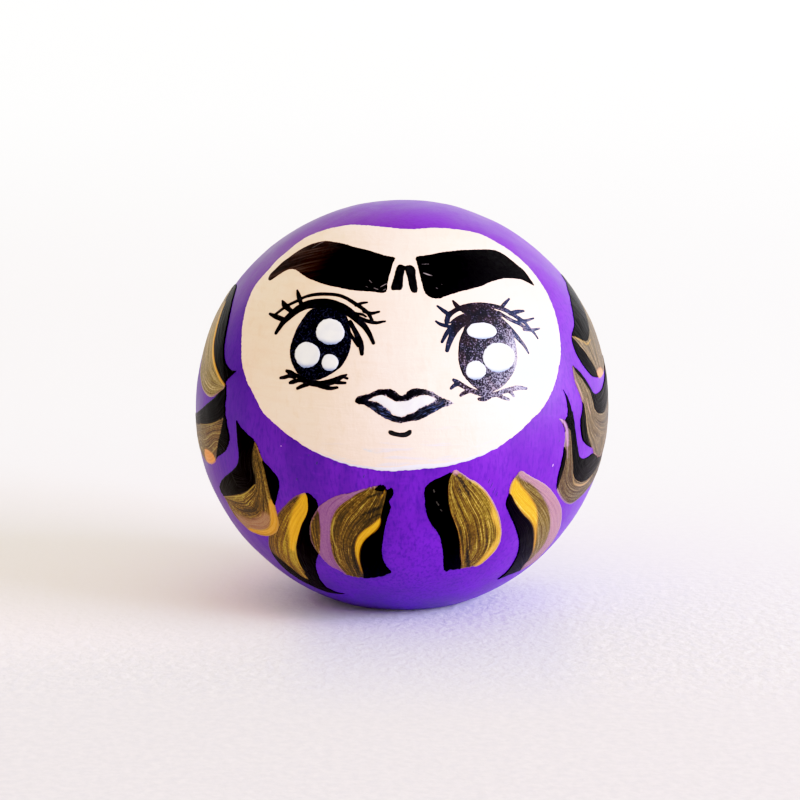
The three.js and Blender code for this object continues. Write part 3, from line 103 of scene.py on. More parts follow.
PEN = {
    'lid_l': [[(-40.98, 27.92, 0.47), (-40.54, 29.11, 0.61), (-39.82, 30.91, 0.80), (-38.11, 33.13, 1.00), (-35.97, 35.25, 1.13), (-33.47, 36.67, 1.20), (-29.94, 37.54, 1.27), (-26.24, 37.85, 1.27), (-22.39, 37.39, 1.20), (-18.92, 36.40, 1.13), (-16.22, 35.08, 1.00), (-13.94, 33.54, 0.80), (-11.42, 31.63, 0.67), (-9.63, 29.44, 0.53), (-8.38, 27.27, 0.40)]],
    'crease_l': [[(-44.10, 32.97, 0.40), (-42.72, 34.31, 0.40), (-40.71, 36.03, 0.40), (-38.45, 37.31, 0.40), (-36.82, 38.16, 0.44), (-35.57, 38.92, 0.40), (-33.46, 39.65, 0.43), (-30.50, 40.28, 0.45), (-27.81, 40.56, 0.43), (-24.71, 40.63, 0.40), (-21.57, 40.36, 0.40), (-18.74, 39.57, 0.40), (-15.93, 38.35, 0.43), (-13.25, 37.07, 0.43), (-11.02, 35.66, 0.40), (-9.46, 33.68, 0.33)]],
    'lash_l': [[(-39.81, 40.80, 0.20), (-38.36, 39.50, 0.53), (-35.84, 37.23, 0.53)], [(-44.02, 37.08, 0.20), (-42.29, 36.03, 0.67), (-38.50, 34.57, 0.53)], [(-46.83, 32.83, 0.27), (-43.68, 32.34, 0.59), (-39.87, 31.78, 0.60)], [(-15.47, 37.89, 0.40), (-13.87, 38.49, 0.35), (-11.86, 38.82, 0.21)], [(-12.43, 36.21, 0.40), (-10.03, 35.60, 0.45), (-7.47, 36.10, 0.27)], [(-14.10, 34.40, 0.40), (-10.69, 33.30, 0.45), (-8.12, 32.91, 0.40), (-5.32, 33.33, 0.21)], [(-16.42, 32.87, 0.53), (-14.79, 30.95, 0.53), (-13.41, 29.05, 0.67), (-12.04, 26.62, 0.69), (-11.50, 24.20, 0.45)], [(-16.63, 30.59, 0.27), (-14.52, 28.18, 0.32), (-12.89, 26.18, 0.19)], [(-15.28, 35.38, 0.40), (-12.92, 35.23, 0.29), (-11.52, 34.60, 0.19)]],
    'low_l': [[(-30.22, 17.33, 0.40), (-28.13, 16.31, 0.60), (-25.56, 15.73, 0.67), (-23.13, 15.64, 0.73), (-20.81, 16.01, 0.80), (-18.57, 16.83, 0.73), (-16.66, 17.87, 0.48), (-15.42, 18.46, 0.21)], [(-33.73, 18.21, 0.35), (-32.29, 17.81, 0.60), (-30.52, 17.17, 0.53)], [(-35.34, 16.17, 0.32), (-34.03, 16.49, 0.43), (-32.45, 16.99, 0.45), (-30.76, 16.72, 0.40)], [(-32.11, 15.16, 0.29), (-31.19, 15.52, 0.53), (-29.35, 16.05, 0.43), (-27.47, 16.10, 0.40)], [(-29.47, 13.98, 0.32), (-28.18, 14.64, 0.45), (-26.42, 15.29, 0.45)], [(-25.26, 15.75, 0.40), (-22.47, 15.11, 0.48), (-19.80, 14.73, 0.45), (-17.68, 15.04, 0.27)], [(-19.99, 16.51, 0.40), (-17.66, 16.35, 0.40), (-15.52, 16.35, 0.27)], [(-17.75, 17.29, 0.40), (-16.51, 17.88, 0.32), (-15.06, 17.56, 0.24)]],
    'lid_r': [[(13.06, 25.09, 0.43), (13.89, 26.96, 0.61), (15.10, 28.98, 0.73), (17.05, 31.14, 0.87), (19.37, 32.79, 1.07), (22.03, 33.92, 1.27), (24.90, 34.16, 1.47), (27.70, 33.97, 1.47), (30.34, 33.20, 1.33), (32.40, 31.87, 1.20), (34.00, 30.30, 1.00), (35.57, 28.60, 0.80), (37.04, 26.63, 0.59), (38.46, 24.40, 0.40), (39.11, 22.54, 0.21)]],
    'lid2_r': [[(11.84, 27.45, 0.29), (13.31, 29.47, 0.45), (15.18, 31.36, 0.51), (17.81, 33.24, 0.53), (20.12, 34.43, 0.53)]],
    'crease_r': [[(14.08, 33.39, 0.48), (15.55, 35.07, 0.53), (17.86, 36.30, 0.56), (20.10, 36.91, 0.59), (23.10, 37.35, 0.61), (26.80, 37.36, 0.61), (30.41, 36.87, 0.61), (33.87, 35.88, 0.61), (36.44, 34.61, 0.59), (38.21, 33.32, 0.56), (39.99, 32.00, 0.53), (41.41, 30.75, 0.48), (42.27, 29.22, 0.43), (43.57, 27.65, 0.35), (44.29, 26.04, 0.21)]],
    'lash_r': [[(11.84, 37.71, 0.21), (13.76, 36.17, 0.48), (15.51, 34.87, 0.48)], [(17.50, 39.01, 0.21), (18.50, 37.46, 0.61), (19.61, 36.39, 0.53)], [(39.03, 38.19, 0.21), (36.23, 36.89, 0.40), (33.97, 35.69, 0.40)], [(42.83, 34.15, 0.24), (39.99, 34.19, 0.53), (36.90, 33.95, 0.53)], [(45.66, 31.65, 0.19), (42.20, 31.37, 0.35), (39.32, 31.54, 0.40)], [(46.47, 28.58, 0.19), (43.19, 28.55, 0.37), (40.07, 28.99, 0.35)], [(10.69, 33.27, 0.21), (12.15, 32.32, 0.40), (14.90, 31.62, 0.40)], [(14.17, 32.96, 0.53), (14.75, 34.38, 0.59), (15.80, 35.50, 0.53)], [(32.85, 34.62, 0.40), (36.07, 32.31, 0.48), (39.25, 30.62, 0.45), (41.33, 29.03, 0.35), (43.40, 28.12, 0.21)]],
    'low_r': [[(14.18, 17.20, 0.32), (15.11, 16.56, 0.56), (16.72, 15.51, 0.56), (18.62, 14.36, 0.53), (20.84, 13.49, 0.59), (23.11, 12.76, 0.61), (25.79, 12.71, 0.56), (28.30, 13.24, 0.53), (30.56, 13.56, 0.56), (33.20, 13.79, 0.53), (35.99, 13.34, 0.27)], [(13.32, 15.04, 0.29), (14.20, 15.73, 0.40), (15.36, 16.10, 0.40)], [(15.81, 13.10, 0.27), (16.86, 13.67, 0.43), (18.61, 14.20, 0.45)], [(20.99, 11.86, 0.35), (22.42, 11.68, 0.45), (23.93, 12.07, 0.40)], [(29.79, 11.05, 0.27), (28.12, 11.67, 0.40), (26.66, 12.38, 0.40)], [(31.53, 11.78, 0.27), (30.76, 12.75, 0.37), (29.89, 13.36, 0.40)]],
}
FLOW = {
    'A': ([[-9.1, -11.1], [-13.9, -14.3], [-17.7, -17.5], [-19.3, -19.7], [-21.2, -25.1], [-22.2, -30.8], [-22.2, -36.6], [-20.3, -41.6]],
          [[-4.5, -11.3], [-4.5, -13.9], [-5.6, -18.4], [-6.3, -21.5], [-9.1, -25], [-12.4, -28.9], [-13.8, -33.6], [-14.1, -41.5]]),
    'B': ([[13.5, -7.1], [12.4, -10.7], [12.5, -13.6], [13.8, -19], [16.2, -24.2], [18, -30.4], [20.9, -39.4]],
          [[14.4, -6.9], [17.9, -9.1], [21.5, -11.4], [25.2, -15.5], [28.7, -21.1], [31.4, -27.6], [31.6, -32.9], [29.1, -37.1], [25.1, -39.5]]),
    'C': ([[31.3, -10.3], [30.5, -13.7], [34.9, -19.6], [40.6, -24.3], [45.1, -29.5], [51, -37.8], [56.8, -46.6]],
          [[33.7, -8.6], [41.4, -12.8], [47.8, -17.1], [54.9, -23.4], [61.1, -31.1], [63.7, -38.1], [63.1, -44.5], [58.1, -46.5]]),
    'D': ([[-27.4, -14.1], [-34, -18], [-39.3, -22.7], [-49, -33.3], [-52.9, -40.7], [-51.1, -49.8]],
          [[-26.7, -14.4], [-27.2, -19], [-30.3, -23.8], [-36.5, -33.9], [-39.4, -41.6], [-41.4, -48.7]]),
    'E': ([[-42.9, -1.7], [-44.1, -6.4], [-44, -11.5], [-45.5, -14.8], [-53.3, -18.3], [-65.7, -21.6]],
          [[-42, -2.4], [-40.1, -8.6], [-39.2, -16.6], [-38.3, -21.4], [-39.1, -25.4], [-43.6, -29.6], [-50.9, -31.5], [-57.3, -30.9], [-62.6, -27.1], [-64.2, -23.1]]),
    'G': ([[-96, 40], [-91.5, 28], [-85, 18], [-77.5, 10.5], [-70.7, 7.4], [-63.3, 7.3], [-57.6, 10.2]],
          [[-92, 39.4], [-79.7, 28.9], [-72.7, 21], [-63.7, 14.3], [-57.5, 11.4]]),
    'F': ([[-88.3, -2.6], [-84, -8], [-75, -12.3], [-69, -12.8]],
          [[-56.8, 3], [-59.4, -4], [-62.3, -9.6], [-66, -12.4]]),
    'H': ([[61.6, 24.2], [66, 19.5], [70.5, 14], [73.4, 10.8]],
          [[89, 39.6], [97.6, 33], [93.5, 22], [86, 13.7], [77, 10.6]]),
    'I': ([[56.2, 16.4], [58, 8.1], [58.9, 5.8], [60.9, -2.5], [66, -8], [71.7, -11.2]],
          [[57, 16.4], [63.6, 8.5], [65.4, 3.6], [74.9, 1.2], [84, 5], [92.6, 11], [92, 1], [85, -8.2], [76, -11.8]]),
    'J': ([[50.2, 3.6], [49.1, -6.3], [48, -14.2], [53.4, -20.3], [64, -22.8], [77.7, -19.5]],
          [[51.4, 2], [53.5, -7.1], [55.9, -13.3], [63.7, -16.7], [72.9, -15.8], [84, -12.2]]),
}

# ---------------------------------------------------------------- noise and surface


def hashed(ix, iy, seed):
    h = (ix.astype(np.int64) * 374761393 + iy.astype(np.int64) * 668265263 + seed * 982451653) & 0x7FFFFFFF
    h = ((h ^ (h >> 13)) * 1274126177) & 0x7FFFFFFF
    return ((h ^ (h >> 16)) & 0xFFFF) / 65535.0


def vnoise(x, y, seed=0):
    """Smooth value noise, 0..1, one feature per unit."""
    ix, iy = np.floor(x), np.floor(y)
    fx, fy = x - ix, y - iy
    fx, fy = fx * fx * (3 - 2 * fx), fy * fy * (3 - 2 * fy)
    ix, iy = ix.astype(np.int64), iy.astype(np.int64)
    a, b = hashed(ix, iy, seed), hashed(ix + 1, iy, seed)
    c, d = hashed(ix, iy + 1, seed), hashed(ix + 1, iy + 1, seed)
    return (a * (1 - fx) + b * fx) * (1 - fy) + (c * (1 - fx) + d * fx) * fy


_rng = np.random.default_rng(7)
_waves = []
for k in range(34):
    n = _rng.normal(size=3)
    n /= np.linalg.norm(n)
    f = 2.0 * 1.13 ** k
    _waves.append((n * f, _rng.uniform(0, 6.28), 0.042 * (2.0 / f) ** 0.75))


def swell(d):
    """Unevenness of the hand-laid paper ball along direction d (N x 3), mm."""
    out = np.zeros(len(d))
    for n, p, a in _waves:
        out += a * np.sin(d @ n + p)
    low = np.clip((d[:, 2] + math.cos(math.radians(HOLE))) / 0.25, 0, 1)
    return out * low


def direction(lonlat):
    lonlat = np.radians(np.asarray(lonlat, float).reshape(-1, 2))
    lo, la = lonlat[:, 0], lonlat[:, 1]
    return np.stack([np.sin(lo) * np.cos(la), -np.cos(lo) * np.cos(la), np.sin(la)], 1)


class Chart:
    """Flat map of the ball about one direction; distances from the middle are true arc lengths in mm."""

    def __init__(self, lon, lat):
        self.m = direction([[lon, lat]])[0]
        e = np.cross([0, 0, 1], self.m)
        self.e1 = e / np.linalg.norm(e)
        self.e2 = np.cross(self.m, self.e1)

    def flat(self, lonlat):
        d = direction(lonlat)
        c = np.clip(d @ self.m, -1, 1)
        t = np.arccos(c)
        k = R * np.where(t < 1e-9, 1.0, t / np.maximum(np.sin(t), 1e-12))
        return np.stack([k * (d @ self.e1), k * (d @ self.e2)], 1)

    def up(self, xy):
        r = np.hypot(xy[:, 0], xy[:, 1])
        t = r / R
        s = np.where(r < 1e-9, 0.0, np.sin(t) / np.maximum(r, 1e-12))
        return (np.cos(t)[:, None] * self.m + (s * xy[:, 0])[:, None] * self.e1 + (s * xy[:, 1])[:, None] * self.e2)


def centre_of(*polys):
    d = direction(np.concatenate([np.asarray(p, float)[:, :2] for p in polys])).mean(0)
    d /= np.linalg.norm(d)
    return math.degrees(math.atan2(d[0], -d[1])), math.degrees(math.asin(d[2]))


# ---------------------------------------------------------------- outlines and pens as distances


def spline(pts, closed, k=5):
    """Centripetal Catmull-Rom through pts (any number of columns)."""
    P = np.asarray(pts, float)
    n = len(P)
    if n < 3:
        if closed or n < 2:
            return P
        t = np.linspace(0, 1, k + 1)[:, None]
        return P[0] * (1 - t) + P[1] * t
    out = []
    for i in range(n if closed else n - 1):
        if closed:
            p0, p1, p2, p3 = P[(i - 1) % n], P[i], P[(i + 1) % n], P[(i + 2) % n]
        else:
            p1, p2 = P[i], P[i + 1]
            p0 = P[i - 1] if i > 0 else 2 * p1 - p2
            p3 = P[i + 2] if i + 2 < n else 2 * p2 - p1
        d = [max(np.linalg.norm((b - a)[:2]), 1e-6) ** 0.5 for a, b in ((p0, p1), (p1, p2), (p2, p3))]
        t0, t1 = 0.0, d[0]
        t2 = t1 + d[1]
        t3 = t2 + d[2]
        t = np.linspace(t1, t2, k + 1)[:-1, None]
        a1 = (t1 - t) / (t1 - t0) * p0 + (t - t0) / (t1 - t0) * p1
        a2 = (t2 - t) / (t2 - t1) * p1 + (t - t1) / (t2 - t1) * p2
        a3 = (t3 - t) / (t3 - t2) * p2 + (t - t2) / (t3 - t2) * p3
        b1 = (t2 - t) / (t2 - t0) * a1 + (t - t0) / (t2 - t0) * a2
        b2 = (t3 - t) / (t3 - t1) * a2 + (t - t1) / (t3 - t1) * a3
        out.append((t2 - t) / (t2 - t1) * b1 + (t - t1) / (t2 - t1) * b2)
    if not closed:
        out.append(P[-1:])
    return np.concatenate(out)


def poly_dist(Q, P):
    """Signed distance of points Q to the closed outline P, positive inside."""
    A, B = P, np.roll(P, -1, 0)
    keep = np.linalg.norm(B - A, axis=1) > 1e-9
    A, B = A[keep], B[keep]
    out = np.empty(len(Q))
    AB = B - A
    L2 = (AB ** 2).sum(1)
    for s in range(0, len(Q), 20000):
        q = Q[s:s + 20000]
        dx, dy = q[:, None, 0] - A[None, :, 0], q[:, None, 1] - A[None, :, 1]
        t = np.clip((dx * AB[:, 0] + dy * AB[:, 1]) / L2, 0, 1)
        d2 = (dx - t * AB[:, 0]) ** 2 + (dy - t * AB[:, 1]) ** 2
        up = (A[None, :, 1] > q[:, None, 1]) != (B[None, :, 1] > q[:, None, 1])
        den = np.where(np.abs(AB[:, 1]) < 1e-12, 1e-12, AB[:, 1])
        cross = up & (dx < dy * AB[:, 0] / den)
        inside = cross.sum(1) % 2 == 1
        out[s:s + 20000] = np.where(inside, 1, -1) * np.sqrt(d2.min(1))
    return out


def pen_dist(Q, P):
    """Distance of Q inside a pen line with its own width at each point (x, y, width)."""
    out = np.full(len(Q), -1e9)
    for a, b in zip(P[:-1], P[1:]):
        ab = b[:2] - a[:2]
        L2 = max((ab ** 2).sum(), 1e-12)
        t = np.clip(((Q - a[:2]) @ ab) / L2, 0, 1)
        d = np.linalg.norm(Q - a[:2] - t[:, None] * ab, axis=1)
        out = np.maximum(out, (a[2] + (b[2] - a[2]) * t) * 0.5 - d)
    return out


def line_param(Q, P):
    """Nearest distance to the open line P and how far along it (0..1)."""
    seg = np.linalg.norm(P[1:] - P[:-1], axis=1)
    cum = np.concatenate([[0], np.cumsum(seg)])
    best, par = np.full(len(Q), 1e9), np.zeros(len(Q))
    for i in range(len(seg)):
        ab = P[i + 1] - P[i]
        t = np.clip(((Q - P[i]) @ ab) / max(seg[i] ** 2, 1e-12), 0, 1)
        d = np.linalg.norm(Q - P[i] - t[:, None] * ab, axis=1)
        m = d < best
        best[m] = d[m]
        par[m] = (cum[i] + t[m] * seg[i]) / cum[-1]
    return best, par, cum[-1]


# ---------------------------------------------------------------- meshes


def make_mesh(name, verts, faces, attrs=None, smooth=True):
    me = bpy.data.meshes.new(name)
    me.from_pydata([tuple(v) for v in (np.asarray(verts) * MM)], [], faces)
    me.update()
    for key, val in (attrs or {}).items():
        at = me.attributes.new(key, "FLOAT", "POINT")
        at.data.foreach_set("value", np.asarray(val, np.float32))
    me.polygons.foreach_set("use_smooth", [smooth] * len(me.polygons))
    ob = bpy.data.objects.new(name, me)
    bpy.context.scene.collection.objects.link(ob)
    return ob


def clip_grid(X, Y, S):
    """Faces of the grid where S > 0, cut along S = 0. Returns points, S at them, faces and the cut edges."""
    nx, ny = S.shape
    eps = 0.02 * (X[1] - X[0])
    S = np.where(np.abs(S) < eps, eps, S)
    inside = S > 0
    idx = -np.ones(S.shape, np.int64)
    used = np.zeros(S.shape, bool)
    full = inside[:-1, :-1] & inside[1:, :-1] & inside[1:, 1:] & inside[:-1, 1:]
    anyin = inside[:-1, :-1] | inside[1:, :-1] | inside[1:, 1:] | inside[:-1, 1:]
    for di, dj in ((0, 0), (1, 0), (1, 1), (0, 1)):
        used[di:nx - 1 + di, dj:ny - 1 + dj] |= anyin
    used &= inside
    idx[used] = np.arange(used.sum())
    gi, gj = np.nonzero(used)
    pts = [np.stack([X[gi], Y[gj]], 1)]
    count = used.sum()
    fi, fj = np.nonzero(full)
    faces = np.stack([idx[fi, fj], idx[fi + 1, fj], idx[fi + 1, fj + 1], idx[fi, fj + 1]], 1).tolist()
    extra, cache, cuts = [], {}, []

    def crossing(a, b):
        nonlocal count
        key = (a, b) if a < b else (b, a)
        if key not in cache:
            (i0, j0), (i1, j1) = key
            s0, s1 = S[i0, j0], S[i1, j1]
            t = s0 / (s0 - s1)
            extra.append((X[i0] + t * (X[i1] - X[i0]), Y[j0] + t * (Y[j1] - Y[j0])))
            cache[key] = count
            count += 1
        return cache[key]

    part = anyin & ~full
    for i, j in zip(*np.nonzero(part)):
        i, j = int(i), int(j)
        c = ((i, j), (i + 1, j), (i + 1, j + 1), (i, j + 1))
        for tri in ((c[0], c[1], c[2]), (c[0], c[2], c[3])):
            poly, marks = [], []
            for k in range(3):
                a, b = tri[k], tri[(k + 1) % 3]
                if inside[a]:
                    poly.append(int(idx[a]))
                if inside[a] != inside[b]:
                    q = crossing(a, b)
                    poly.append(q)
                    marks.append((q, bool(inside[a])))
            if len(poly) >= 3:
                faces.append(poly)
                if len(marks) == 2:
                    leave = [q for q, out in marks if out][0]
                    enter = [q for q, out in marks if not out][0]
                    cuts.append((leave, enter))
    if extra:
        pts.append(np.array(extra))
    return np.concatenate(pts), faces, cuts


def film(name, chart, shape, box, cell, bottom, top, edge=0.16, rim=0.35, relief=None, attrs=None):
    """A thin closed skin of paint. shape(Q) > 0 inside, in chart mm; bottom and top are heights above the coat."""
    (x0, y0), (x1, y1) = box
    X = np.arange(x0 - 3 * cell, x1 + 4 * cell, cell)
    Y = np.arange(y0 - 3 * cell, y1 + 4 * cell, cell)
    G = np.stack(np.meshgrid(X, Y, indexing="ij"), -1).reshape(-1, 2)
    S = shape(G).reshape(len(X), len(Y))
    S[0, :] = S[-1, :] = S[:, 0] = S[:, -1] = -1.0
    P, faces, cuts = clip_grid(X, Y, S)
    s = np.maximum(shape(P), 0)
    k = np.clip(s / edge, 0, 1)
    round_ = rim + (1 - rim) * np.sqrt(np.clip(1 - (1 - k) ** 2, 0, 1))
    d = chart.up(P)
    base = R + swell(d)
    h = bottom + (top - bottom) * round_
    if relief is not None:
        h = h + relief(P, s) * k
    up = CENTRE + d * (base + h)[:, None]
    dn = CENTRE + d * (base + bottom)[:, None]
    n = len(P)
    allf = list(faces) + [[v + n for v in reversed(f)] for f in faces]
    allf += [[b, a, a + n, b + n] for a, b in cuts]
    at = {"s": np.concatenate([s, s * 0])}
    for key, fn in (attrs or {}).items():
        v = fn(P) if callable(fn) else fn
        if isinstance(v, dict):
            for kk, vv in v.items():
                at[kk] = np.concatenate([vv, vv])
        else:
            at[key] = np.concatenate([v, v])
    return make_mesh(name, np.concatenate([up, dn]), allf, at)


def extent(*polys, pad=0.3):
    a = np.concatenate([np.asarray(p)[:, :2] for p in polys])
    return (a[:, 0].min() - pad, a[:, 1].min() - pad), (a[:, 0].max() + pad, a[:, 1].max() + pad)


# ---------------------------------------------------------------- materials


def lin(c):
    c = np.asarray(c, float) / 255.0
    v = np.where(c <= 0.04045, c / 12.92, ((c + 0.055) / 1.055) ** 2.4)
    return (float(v[0]), float(v[1]), float(v[2]), 1.0)


class Mat:
    def __init__(self, name):
        self.m = bpy.data.materials.new(name)
        self.m.use_nodes = True
        self.t = self.m.node_tree
        self.t.nodes.clear()
        self.out = self.t.nodes.new("ShaderNodeOutputMaterial")
        self.bsdf = self.t.nodes.new("ShaderNodeBsdfPrincipled")
        self.t.links.new(self.bsdf.outputs[0], self.out.inputs[0])

    def put(self, sock, v):
        if hasattr(v, "is_output") or hasattr(v, "is_linked") and hasattr(v, "node"):
            self.t.links.new(v, sock)
        elif isinstance(v, tuple) and len(v) == 3 and sock.type == "RGBA":
            sock.default_value = lin(v)
        else:
            sock.default_value = v

    def set(self, **kw):
        for k, v in kw.items():
            self.put(self.bsdf.inputs[k.replace("_", " ")], v)

    def coords(self, scale=(1, 1, 1), rot=(0, 0, 0)):
        tc = self.t.nodes.new("ShaderNodeTexCoord")
        mp = self.t.nodes.new("ShaderNodeMapping")
        mp.inputs["Scale"].default_value = scale
        mp.inputs["Rotation"].default_value = rot
        self.t.links.new(tc.outputs["Object"], mp.inputs["Vector"])
        return mp.outputs[0]

    def noise(self, vec, scale=1.0, detail=2.0, rough=0.5, distort=0.0, color=False):
        n = self.t.nodes.new("ShaderNodeTexNoise")
        self.t.links.new(vec, n.inputs["Vector"])
        n.inputs["Scale"].default_value = scale
        n.inputs["Detail"].default_value = detail
        n.inputs["Roughness"].default_value = rough
        n.inputs["Distortion"].default_value = distort
        return n.outputs[1 if color else 0]

    def attr(self, name):
        n = self.t.nodes.new("ShaderNodeAttribute")
        n.attribute_name = name
        return n.outputs["Fac"]

    def math(self, op, a, b=None, c=None, clamp=False):
        n = self.t.nodes.new("ShaderNodeMath")
        n.operation = op
        n.use_clamp = clamp
        for i, v in enumerate((a, b, c)):
            if v is not None:
                self.put(n.inputs[i], v)
        return n.outputs[0]

    def add(self, a, b):
        return self.math("ADD", a, b)

    def mul(self, a, b):
        return self.math("MULTIPLY", a, b)

    def vec(self, x, y, z=0.0):
        n = self.t.nodes.new("ShaderNodeCombineXYZ")
        for i, v in enumerate((x, y, z)):
            self.put(n.inputs[i], v)
        return n.outputs[0]

    def step(self, v, lo, hi, a=0.0, b=1.0, smooth=True):
        n = self.t.nodes.new("ShaderNodeMapRange")
        n.interpolation_type = "SMOOTHSTEP" if smooth else "LINEAR"
        n.clamp = True
        self.put(n.inputs[0], v)
        for i, x in zip((1, 2, 3, 4), (lo, hi, a, b)):
            self.put(n.inputs[i], x)
        return n.outputs[0]

    def mix(self, f, a, b, mode="MIX"):
        n = self.t.nodes.new("ShaderNodeMix")
        n.data_type = "RGBA"
        n.blend_type = mode
        self.put(n.inputs[0], f)
        self.put(n.inputs[6], a)
        self.put(n.inputs[7], b)
        return n.outputs[2]

    def ramp(self, f, stops):
        n = self.t.nodes.new("ShaderNodeValToRGB")
        cr = n.color_ramp
        while len(cr.elements) > 1:
            cr.elements.remove(cr.elements[-1])
        for i, (p, c) in enumerate(stops):
            e = cr.elements[0] if i == 0 else cr.elements.new(p)
            e.position = p
            e.color = lin(c)
        self.put(n.inputs[0], f)
        return n.outputs[0]

    def curve(self, f, stops):
        """A number that follows stops (position, value 0..1)."""
        n = self.t.nodes.new("ShaderNodeValToRGB")
        cr = n.color_ramp
        while len(cr.elements) > 1:
            cr.elements.remove(cr.elements[-1])
        for i, (p, v) in enumerate(stops):
            e = cr.elements[0] if i == 0 else cr.elements.new(p)
            e.position = p
            e.color = (v, v, v, 1)
        self.put(n.inputs[0], f)
        bw = self.t.nodes.new("ShaderNodeRGBToBW")
        self.t.links.new(n.outputs[0], bw.inputs[0])
        return bw.outputs[0]

    def bump(self, h, dist, strength=1.0, prev=None):
        n = self.t.nodes.new("ShaderNodeBump")
        n.inputs["Strength"].default_value = strength
        n.inputs["Distance"].default_value = dist
        self.t.links.new(h, n.inputs["Height"])
        if prev is not None:
            self.t.links.new(prev, n.inputs["Normal"])
        self.t.links.new(n.outputs[0], self.bsdf.inputs["Normal"])
        return n.outputs[0]


def paint(ob, mat):
    ob.data.materials.clear()
    ob.data.materials.append(mat.m if isinstance(mat, Mat) else mat)


def hand_in(ob, slot, *nodes):
    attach(ob, "root")
    if nodes:
        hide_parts(*nodes)

# ---------------------------------------------------------------- the violet coat


def ball_coat():
    """Outer skin of the ball, rolled in round the bottom opening, as one closed shell."""
    seg, rings = 372, 236
    prof = []
    for k in range(rings + 1):                    # top to just above the rim
        a = math.radians(180.0 - HOLE - 0.6) * k / rings
        prof.append((math.sin(a), math.cos(a), R, 1.0))
    rows = []
    th = np.linspace(0, 2 * math.pi, seg, endpoint=False)
    ct, st = np.sin(th), -np.cos(th)
    for s, c, r, _ in prof[1:]:
        d = np.stack([s * ct, s * st, np.full(seg, c)], 1)
        rows.append(CENTRE + d * (r + swell(d))[:, None])
    for rr, zz in ((FOOT_R + 0.04, 0.07), (FOOT_R - 0.06, 0.012), (FOOT_R - 0.18, 0.0), (FOOT_R - 0.27, 0.02), (FOOT_R - 0.30, 0.09)):
        rows.append(np.stack([rr * ct, rr * st, np.full(seg, zz)], 1))
    a0 = math.asin((FOOT_R - 0.30) / 27.41)
    for k in range(0, 40):                        # back up the inside
        a = a0 + (math.pi - a0) * (k + 0.35) / 40.0
        d = np.stack([math.sin(a) * ct, math.sin(a) * st, np.full(seg, -math.cos(a))], 1)
        rows.append(CENTRE + d * 27.41)
    V = np.concatenate([[CENTRE + np.array([0, 0, R + float(swell(np.array([[0, 0, 1.0]]))[0])])]] + rows
                       + [[CENTRE + np.array([0, 0, 27.41])]])
    n = len(rows)
    F = []
    j = np.arange(seg)
    jn = (j + 1) % seg
    F += [[0, int(1 + a), int(1 + b)] for a, b in zip(j, jn)]
    for k in range(n - 1):
        o, p = 1 + k * seg, 1 + (k + 1) * seg
        F += np.stack([o + j, p + j, p + jn, o + jn], 1).tolist()
    last = len(V) - 1
    o = 1 + (n - 1) * seg
    F += [[last, int(o + b), int(o + a)] for a, b in zip(j, jn)]
    return make_mesh("violet_coat_painted", V, F)


def coat_material():
    m = Mat("violet_acrylic")
    co = m.coords((1, 1, 1))
    fine = m.noise(m.coords((2700, 2700, 760)), 1.0, 3.0, 0.6)          # short upright bristle marks
    broad = m.noise(m.coords((160, 160, 60)), 1.0, 3.0, 0.55, 0.4)
    weave = m.noise(m.coords((500, 500, 1600)), 1.0, 2.0, 0.5)
    col = m.mix(m.step(broad, 0.35, 0.68), (87, 18, 162), (102, 28, 187))
    col = m.mix(m.step(fine, 0.42, 0.72, 0.0, 0.6), col, (62, 4, 136))
    col = m.mix(m.step(weave, 0.55, 0.8, 0.0, 0.3), col, (112, 30, 200))
    sx = m.t.nodes.new("ShaderNodeSeparateXYZ")
    m.t.links.new(co, sx.inputs[0])
    col = m.mix(m.step(m.add(sx.outputs[0], m.mul(m.math("SUBTRACT", broad, 0.5), 0.008)), -0.006, -0.024, 0, 0.55), col, (66, 6, 138))   # partly a thicker brushing, partly painted shade on the side away from the window
    col = m.mix(m.step(m.add(sx.outputs[2], m.mul(m.math("SUBTRACT", broad, 0.5), 0.006)), 0.037, 0.049, 0, 0.6), col, (104, 10, 156))   # partly a redder brushing, partly a painted warm tint of the room's fill light over the crown
    m.set(Base_Color=col, Roughness=m.step(broad, 0.3, 0.7, 0.40, 0.50))
    m.set(**{"IOR": 1.46, "Specular_IOR_Level": 0.24})
    m.bsdf.inputs["Sheen Weight"].default_value = 0.02
    m.bsdf.inputs["Sheen Roughness"].default_value = 0.3
    m.bsdf.inputs["Sheen Tint"].default_value = (0.93, 0.86, 1.0, 1)
    h = m.add(m.mul(fine, 0.6), m.add(m.mul(weave, 0.4), m.mul(broad, 1.6)))
    m.bump(h, 0.00006, 0.5)
    return m


coat = ball_coat()
paint(coat, coat_material())
hand_in(coat, "violet_paint", "colour_coat")


# ---------------------------------------------------------------- the cream face


def flat_poly(chart, key, k=5):
    return spline(chart.flat(OUT[key]), True, k)


face_chart = Chart(-1.0, 34.0)
face_P = flat_poly(face_chart, "face", 4)


FACE_LINES = [[(-10.74, -0.20, 0.16), (-8.89, -0.93, 0.35), (-6.52, -1.53, 0.29), (-4.69, -1.63, 0.13)], [(16.94, -1.04, 0.13), (19.71, -0.56, 0.25), (22.53, 0.17, 0.29), (25.14, 1.28, 0.25), (26.63, 2.21, 0.13)], [(9.17, -3.08, 0.21), (11.56, -2.85, 0.35), (13.97, -2.48, 0.21)], [(-21.41, -1.35, 0.13), (-18.07, -2.72, 0.27), (-14.80, -3.61, 0.29), (-11.58, -4.26, 0.16)], [(18.06, -2.19, 0.12), (20.85, -1.58, 0.24), (23.40, -0.71, 0.13)]]


def face_attrs(P):
    f = np.full(len(P), -1.0)
    for st in FACE_LINES:
        a = np.asarray(st, float)
        f = np.maximum(f, pen_dist(P, spline(np.concatenate([face_chart.flat(a[:, :2]), a[:, 2:3]], 1), False, 5)))
    return {"f": f, "low": np.clip((P[:, 1] * -1 - 10) / 12, 0, 1) * np.clip(1 - np.abs(P[:, 0] - 2) / 19, 0, 1)}


